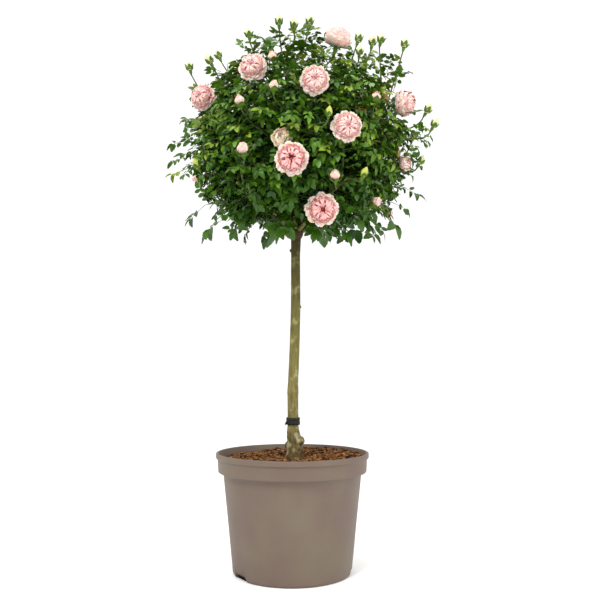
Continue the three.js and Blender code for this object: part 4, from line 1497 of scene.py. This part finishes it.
def make_bed(material):
    """A lumpy bed of compost."""
    bed = Pile()
    rings, sides = BED["rings"], BED["sides"]
    points = []
    for ring in range(rings + 1):
        radius = max(0.02, SOIL_EDGE * (1 - ring / rings))
        for side in range(sides):
            turn = 2 * math.pi * (side + 0.5 * (ring % 2)) / sides
            x, y = radius * math.cos(turn), radius * math.sin(turn)
            rough = 1.3 * noise.fractal(vec(x, y, 0) * 0.16, 0.8, 2.2, 4)
            points.append(vec(x, y, soil_height(x, y) + rough - 0.4))
    share = BED["foot_share"]
    wall_foot = [vec(p.x * share, p.y * share, BED["foot"]) for p in points[:sides]]
    bed.add(wall_foot + points, ring_faces(rings + 2, sides))
    bed.piece("compost_bed", material, "compost", ["soil"])


def add_chip(k, piles):
    """A loose chip of bark, in one of the piles."""
    radius = (SOIL_EDGE - 3) * math.sqrt((k + 0.5) / CHIPS["count"])
    turn = k * GOLDEN_ANGLE + 0.6 * chance(k, 71)
    x, y = radius * math.cos(turn), radius * math.sin(turn)
    if in_stem(x, y, -2):
        return
    size = CHIPS["size"] + CHIPS["more"] * chance(k, 72) ** 2
    tilt = Matrix.Rotation(1.1 * (chance(k, 74) - 0.5), 3, "X")
    spin = Matrix.Rotation(6.28 * chance(k, 73), 3, "Z") @ tilt
    at = vec(x, y, soil_height(x, y) + 0.5 * size)
    corners = []
    for corner, signs in enumerate(CHIP_CORNERS):
        jags = [0.65 + 0.6 * chance(k, corner, 75 + axis) for axis in range(3)]
        place = [sign * jag * size * share for sign, jag, share in zip(signs, jags, CHIPS["shape"])]
        corners.append(at + spin @ Vector(place))
    piles[int(chance(k, 78) * len(piles))].add(corners, BOX_FACES)


def add_thread(k, pile):
    """A bowed thread of coir."""
    radius = (SOIL_EDGE - 9) * math.sqrt(chance(k, 81))
    turn = 6.28 * chance(k, 82)
    x, y = radius * math.cos(turn), radius * math.sin(turn)
    if in_stem(x, y, 1):
        return
    heading = 6.28 * chance(k, 83)
    long = 3 + 5 * chance(k, 84)
    line = []
    for step in THREADS["steps"]:
        bow = heading + 0.5 * step * (chance(k, 85) - 0.5)
        px, py = x + math.cos(bow) * long * step, y + math.sin(bow) * long * step
        line.append(vec(px, py, soil_height(px, py) + 1.2 + 0.8 * chance(k, 86) - 0.7 * step * step))
    tube(pile, line, THREADS["radii"], 4)


def make_soil(bed_material, crumb_materials):
    """The bed, with chips of bark and threads of coir on it."""
    make_bed(bed_material)
    piles = [Pile() for _ in crumb_materials]
    for k in range(CHIPS["count"]):
        add_chip(k, piles)
    for k in range(THREADS["count"]):
        add_thread(k, piles[-1])
    for k, (pile, material) in enumerate(zip(piles, crumb_materials)):
        pile.piece(f"compost_chips_{k + 1}", material, "compost", soft=False)


# ---------------------------------------------------------------- materials


class Finish:
    """A material made of nodes: noise over the object for its colour and relief, and an even roughness."""

    def __init__(self, name, roughness, specular=0.5):
        self.material = bpy.data.materials.new(name)
        self.material.use_nodes = True
        self.tree = self.material.node_tree
        self.shader = self.tree.nodes["Principled BSDF"]
        self.shader.inputs["Roughness"].default_value = roughness
        self.shader.inputs["Specular IOR Level"].default_value = specular
        self.place = self.tree.nodes.new("ShaderNodeTexCoord").outputs["Object"]

    def node(self, kind, **settings):
        made = self.tree.nodes.new("ShaderNode" + kind)
        for name, value in settings.items():
            if name in made.inputs:
                made.inputs[name].default_value = value
            else:
                setattr(made, name, value)
        return made

    def link(self, source, target):
        self.tree.links.new(source, target)

    def noise(self, scale, detail=3, stretch=(1, 1, 1)):
        """Noise over the object, where scale is lumps to the metre."""
        mapping = self.node("Mapping")
        mapping.inputs["Scale"].default_value = stretch
        self.link(self.place, mapping.inputs["Vector"])
        made = self.node("TexNoise", Scale=scale, Detail=detail)
        self.link(mapping.outputs["Vector"], made.inputs["Vector"])
        return made.outputs["Fac"]

    def ramp(self, source, stops):
        made = self.node("ValToRGB")
        elements = made.color_ramp.elements
        while len(elements) < len(stops):
            elements.new(0.5)
        for element, (position, value) in zip(elements, stops):
            element.position = position
            element.color = value
        self.link(source, made.inputs["Fac"])
        return made.outputs["Color"]

    def blend(self, share, first, second):
        made = self.node("Mix", data_type="RGBA")
        self.link(share, made.inputs["Factor"])
        self.link(first, made.inputs["A"])
        self.link(second, made.inputs["B"])
        return made.outputs[2]

    def paint(self, source):
        self.link(source, self.shader.inputs["Base Color"])

    def relief(self, source, strength, depth):
        """Relief of a depth in metres."""
        bump = self.node("Bump", Strength=strength, Distance=depth)
        self.link(source, bump.inputs["Height"])
        self.link(bump.outputs["Normal"], self.shader.inputs["Normal"])


def shades(base, spread):
    """Three stops round a colour seen on screen, darker and lighter by a share."""
    stops = []
    for position, more in ((0.3, -spread), (0.5, 0), (0.7, spread)):
        stops.append((position, colour(*[clamp(c * (1 + more), 0, 255) for c in base])))
    return stops


def finish_of(name, shine, mottle, stops, relief=None):
    """A finish with noise in its colour and relief. Shine is its roughness and specular level, mottle
    is the noise of its colour, and relief is a noise, a strength and a depth in metres."""
    finish = Finish(name, *shine)
    finish.paint(finish.ramp(finish.noise(*mottle), stops))
    if relief:
        grain, strength, depth = relief
        finish.relief(finish.noise(*grain), strength, depth)
    return finish


def leaf_finish(name, base, roughness):
    return finish_of(name, (roughness, 0.26), (120, 2), shades(base, 0.09), ((1200, 2), 0.2, 0.0004)).material


def petal_finish(name, base):
    finish = finish_of(name, (0.7, 0.15), (180, 3), shades(base, 0.03), ((900, 3), 0.15, 0.0004))
    finish.shader.inputs["Sheen Weight"].default_value = 0.05
    finish.shader.inputs["Subsurface Weight"].default_value = 0.4
    finish.shader.inputs["Subsurface Scale"].default_value = 0.003
    return finish.material


def wood_finish(name, base, spread, grain):
    relief = ((grain, 4, (1, 1, 0.3)), 0.5, 0.0006)
    return finish_of(name, (0.72, 0.3), (150, 5, (1, 1, 0.35)), shades(base, spread), relief).material


# The bark's colours from its foot to the graft: the share of the height, and the colour on screen.
BARK = [
    (0.0, (80, 50, 22)), (0.05, (92, 78, 42)), (0.14, (108, 98, 54)), (0.3, (112, 104, 58)),
    (0.5, (100, 95, 46)), (0.75, (80, 76, 32)), (0.92, (64, 54, 26)), (1.0, (56, 44, 22)),
]
BARK_DARK = [(0, (38, 24, 12)), (0.3, (88, 74, 38)), (1, (48, 42, 18))]
BARK_PALE = [(0, (178, 166, 122)), (0.12, (172, 164, 128)), (0.25, (152, 144, 98)), (1, (104, 102, 54))]
BARK_SPAN = (0.183, 0.593)  # heights in metres of its foot and its top


def bark_finish():
    """Grey-brown and scarred at the foot, tan-olive above the tie, greener and darker to the top."""
    finish = Finish("bark", 0.78, 0.28)
    split = finish.node("SeparateXYZ")
    finish.link(finish.place, split.inputs["Vector"])
    height = finish.node("MapRange", clamp=True)
    finish.link(split.outputs["Z"], height.inputs["Value"])
    height.inputs["From Min"].default_value = BARK_SPAN[0]
    height.inputs["From Max"].default_value = BARK_SPAN[1]
    base, dark, pale = [
        finish.ramp(height.outputs["Result"], [(position, colour(*seen)) for position, seen in stops])
        for stops in (BARK, BARK_DARK, BARK_PALE)
    ]
    black, grey = (0, 0, 0, 1), (0.8, 0.8, 0.8, 1)
    streaks = finish.ramp(finish.noise(240, 5, (1, 1, 0.22)), [(0.44, black), (0.72, grey)])
    patches = finish.ramp(finish.noise(75, 4), [(0.53, black), (0.66, grey)])
    finish.paint(finish.blend(streaks, finish.blend(patches, base, pale), dark))
    finish.relief(finish.noise(520, 5, (1, 1, 0.3)), 0.6, 0.0008)
    return finish.material


def pot_finish():
    stops = [(0.35, colour(98, 81, 72)), (0.65, colour(103, 91, 76))]
    return finish_of("taupe_plastic", (0.55, 0.35), (14, 6), stops, ((1400, 3), 0.12, 0.0004)).material


def tape_finish():
    stops = [(0.3, colour(10, 10, 8)), (0.7, colour(34, 33, 26))]
    return finish_of("black_tape", (0.55, 0.2), (300, 3), stops, ((700, 3, (1, 1, 3)), 0.3, 0.0005)).material


def soil_finish(name, base):
    return finish_of(name, (0.92, 0.2), (420, 5), shades(base, 0.45), ((900, 5), 0.8, 0.001)).material


def plain_finish(name, base, roughness):
    return finish_of(name, (roughness, 0.2), (3, 2), shades(base, 0.004)).material


# Greens of the leaves: darker ones deep inside and below the crown are painted shade, lighter ones at the
# outside and top are painted light as well as the real lighter green of young growth.
LEAF_SHADES = {
    "dark": (22, 46, 8), "deep": (32, 66, 10), "mid": (50, 86, 12), "fresh": (66, 102, 16),
    "bright": (80, 118, 24), "new": (112, 136, 40), "bronze": (124, 92, 40),
}
PETAL_SHADES = {
    "ivory": (242, 226, 204), "cream": (226, 206, 192), "blush": (226, 186, 178), "pink": (220, 172, 168),
    "rose": (210, 148, 144), "deep": (194, 110, 106), "heart": (110, 8, 14), "peach": (250, 222, 194),
    "bud_pink": (236, 182, 170), "bud_green": (188, 188, 144), "bud_lime": (166, 176, 84),
}
# the score below which each green is taken; a low score, deep inside or low down, gives painted shade
SHADE_STEPS = [(0.32, "dark"), (0.6, "deep"), (0.88, "mid"), (1.08, "fresh"), (1.22, "bright"), (9, "new")]
BRONZED = {"length": 45, "depth": -12, "height": -0.4, "share": 0.02}  # small outer leaves, and how many


def leaf_green_with_painted_shade(leaf, key, young):
    """Which green a leaf takes: darker inside and below as painted shade, lighter outside and on top as
    painted light and young growth.
    """
    depth = depth_of(leaf.tip)
    height = (leaf.tip.z - CENTRE.z) / CROWN["top"]
    outer = depth > BRONZED["depth"] and height > BRONZED["height"]
    if leaf.length < BRONZED["length"] and outer and chance(key, 92) > 1 - BRONZED["share"]:
        return "bronze"
    score = smooth(-110, 5, depth) + 0.1 * height + 0.8 * (chance(key, 91) - 0.5)
    # low leaves get no lighter than mid green, as painted shade under the crown
    if leaf.tip.z < LOW_LEAVES + 20:
        score = min(score, 0.7)
    return next(name for limit, name in SHADE_STEPS if score < limit or not young and name == "fresh")


# ---------------------------------------------------------------- assembly


def place_flowers():
    """Moves and turns the flowers of the front as the photo shows them."""
    for key, (aside, up, azimuth, elevation, size) in STANDING.items():
        flower = FLOWERS[key]
        flower.at = flower.at + vec(aside, 0, up)
        flower.facing = compass(azimuth, elevation)
        flower.width *= size
    for bud, (aside, up) in BUD_SHIFTS.items():
        flower = FLOWERS[len(BLOOMS) + bud]
        flower.at = flower.at + vec(aside, 0, up)
    for key in STILL_CLOSED:
        flower = FLOWERS[key]
        flower.bloom = flower.open = False
        flower.width, flower.tint = CLOSED_WIDTH, "pink"
    for flower in FLOWERS:
        if flower.tint == "pink":
            flower.width *= PINK_BUD_SIZE


def left_out(leaf, key):
    """True for the solids' leaves in the hollows, most of the low ones and all of those round the stem."""
    outward = (leaf.tip - CENTRE).normalized()
    if outward.z > -0.1 and noise.noise(outward * HOLLOWS) > OPEN_ABOVE:
        return True
    if chance(key, 94) < THINNED["solids"] * thinning(outward):
        return True
    line = hang_line(leaf.tip)
    if leaf.tip.z > line + HANG["kept"]:
        return False
    aside = math.hypot(leaf.tip.x - FORK.x, leaf.tip.y - FORK.y)
    return aside < BARE_ROUND_STEM or leaf.tip.z < line or chance(key, 93) > KEPT_LOW


def add_wood(twigs, shoots, boughs, wood, fresh, prickles):
    for k, limb in enumerate(LIMBS):
        add_limb(limb, k, boughs, prickles)
    for twig in twigs:
        add_twig(twig, fresh if twig.flower else wood)
    bands = FINE["bands"]
    radii = [mix(FINE["radius"], FINE["tip"], k / bands) for k in range(bands + 1)]
    for shoot in shoots:
        tube(fresh, shoot.line.points(bands), radii, 4)


def add_solid_leaves(twigs, piles, stalks):
    """The leaves of the solids, smaller, without those that are left out or would hide a flower."""
    for twig in twigs:
        for k, leaf in enumerate(twig.leaves):
            key = twig.key * 13 + k
            low = leaf.tip.z < LOW_LEAVES
            if hides_flower(leaf) or left_out(leaf, key):
                continue
            shade = leaf_green_with_painted_shade(leaf, key, False)
            leaf = Blade(leaf.root, leaf.direction, leaf.length * (DRAWN_LOW_LEAF if low else DRAWN_LEAF))
            add_compound_leaf(leaf, key, FIVE_LARGE if low else SEVEN, piles[shade], stalks)


def add_shoot_leaves(shoots, piles, stalks):
    for shoot in shoots:
        for k, leaf in enumerate(shoot.leaves):
            key = shoot.key * 13 + k
            kind = FIVE_LARGE if leaf.tip.z < LOW_LEAVES else SEVEN if leaf.length > 44 else FIVE_SMALL
            add_compound_leaf(leaf, key, kind, piles[leaf_green_with_painted_shade(leaf, key, True)], stalks)


def make_crown():
    twigs = grow_twigs()
    shoots, bud_stalks = grow_fine_shoots(twigs)
    place_flowers()
    leaf_piles = {name: Pile() for name in LEAF_SHADES}
    petal_piles = {name: Pile() for name in [*PETAL_SHADES, "sepal"]}
    boughs, wood, fresh, stalks, prickles = Pile(), Pile(), Pile(), Pile(), Pile()
    add_wood(twigs, shoots, boughs, wood, fresh, prickles)
    for twig in twigs:
        if twig.flower:
            add_flower(twig.flower, petal_piles)
    add_solid_leaves(twigs, leaf_piles, stalks)
    add_shoot_leaves(shoots + bud_stalks, leaf_piles, stalks)
    masses = [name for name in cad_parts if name.startswith("foliage")]
    limbs = [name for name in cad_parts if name.startswith("bough")]
    boughs.piece("boughs", wood_finish("green_bark", (88, 88, 40), 0.3, 600), "green_wood", limbs)
    wood.piece("twigs", wood_finish("twig_bark", (62, 70, 32), 0.25, 900), "green_wood", masses)
    fresh.piece("shoots", wood_finish("shoot_bark", (66, 80, 34), 0.2, 900), "green_wood")
    prickles.piece("prickles", wood_finish("prickle", (118, 76, 50), 0.2, 900), "green_wood", soft=False)
    stalks.piece("leaf_stalks", wood_finish("leaf_stalk", (72, 92, 32), 0.2, 1200), "foliage")
    # the greens dealt by place carry painted shade inside and below the crown
    for name, pile in leaf_piles.items():
        pile.piece("leaves_" + name, leaf_finish("leaf_" + name, LEAF_SHADES[name], 0.38), "foliage", masses)
    sepals = petal_piles.pop("sepal")
    sepals.piece("sepals", leaf_finish("sepal", (68, 98, 20), 0.7), "foliage")
    for name, pile in petal_piles.items():
        label = name if name.startswith("bud") else "petals_" + name
        pile.piece(label, petal_finish(label, PETAL_SHADES[name]), "foliage")


def make_floor():
    half = FLOOR_SIZE * MM / 2
    corners = [(-half, -half, 0), (half, -half, 0), (half, half, 0), (-half, half, 0)]
    mesh = bpy.data.meshes.new("floor")
    mesh.from_pydata(corners, [], [(0, 1, 2, 3)])
    mesh.materials.append(plain_finish("pale_floor", (246, 246, 245), 0.9))
    new_object("floor", mesh)


# Soft lights, with lengths in metres: place, target, size and power.
LIGHTS = {
    "key": ((-0.7, -1.5, 2.0), (0, 0, 0.55), 0.6, 34),
    "fill": ((1.5, -1.2, 1.0), (0, 0, 0.4), 1.4, 14),
    "top": ((0.1, 0.3, 2.4), (0, 0, 0.6), 1.4, 18),
}
WORLD_LIGHT = 1.1


def make_lights():
    world = bpy.data.worlds.new("studio")
    world.use_nodes = True
    background = world.node_tree.nodes["Background"]
    background.inputs["Color"].default_value = (1, 1, 1, 1)
    background.inputs["Strength"].default_value = WORLD_LIGHT
    bpy.context.scene.world = world
    for name, (place, target, size, power) in LIGHTS.items():
        light = bpy.data.lights.new(name, "AREA")
        light.size = size
        light.energy = power
        lamp = new_object(name, light)
        lamp.location = place
        lamp.rotation_euler = (Vector(target) - Vector(place)).to_track_quat("-Z", "Y").to_euler()


def make_camera():
    lens = bpy.data.cameras.new("camera")
    lens.sensor_width = 36
    lens.lens = lens.sensor_width * CAMERA["focal_px"] / CAMERA["image_px"]
    camera = new_object("camera", lens)
    camera.location = CAMERA["at"] * MM
    camera.rotation_euler = (math.radians(90 + CAMERA["pitch"]), 0, 0)
    bpy.context.scene.camera = camera
    bpy.context.scene.view_settings.view_transform = "Standard"


make_crown()
make_stem(bark_finish())
make_tie(tape_finish())
compost = soil_finish("compost_dark", (22, 12, 6))
make_pot(pot_finish(), compost)
make_soil(
    compost,
    [
        soil_finish("chips_dark", (30, 16, 7)),
        soil_finish("chips_brown", (76, 44, 20)),
        soil_finish("chips_golden", (112, 72, 34)),
        soil_finish("coir", (130, 90, 46)),
    ],
)
make_floor()
make_lights()
make_camera()
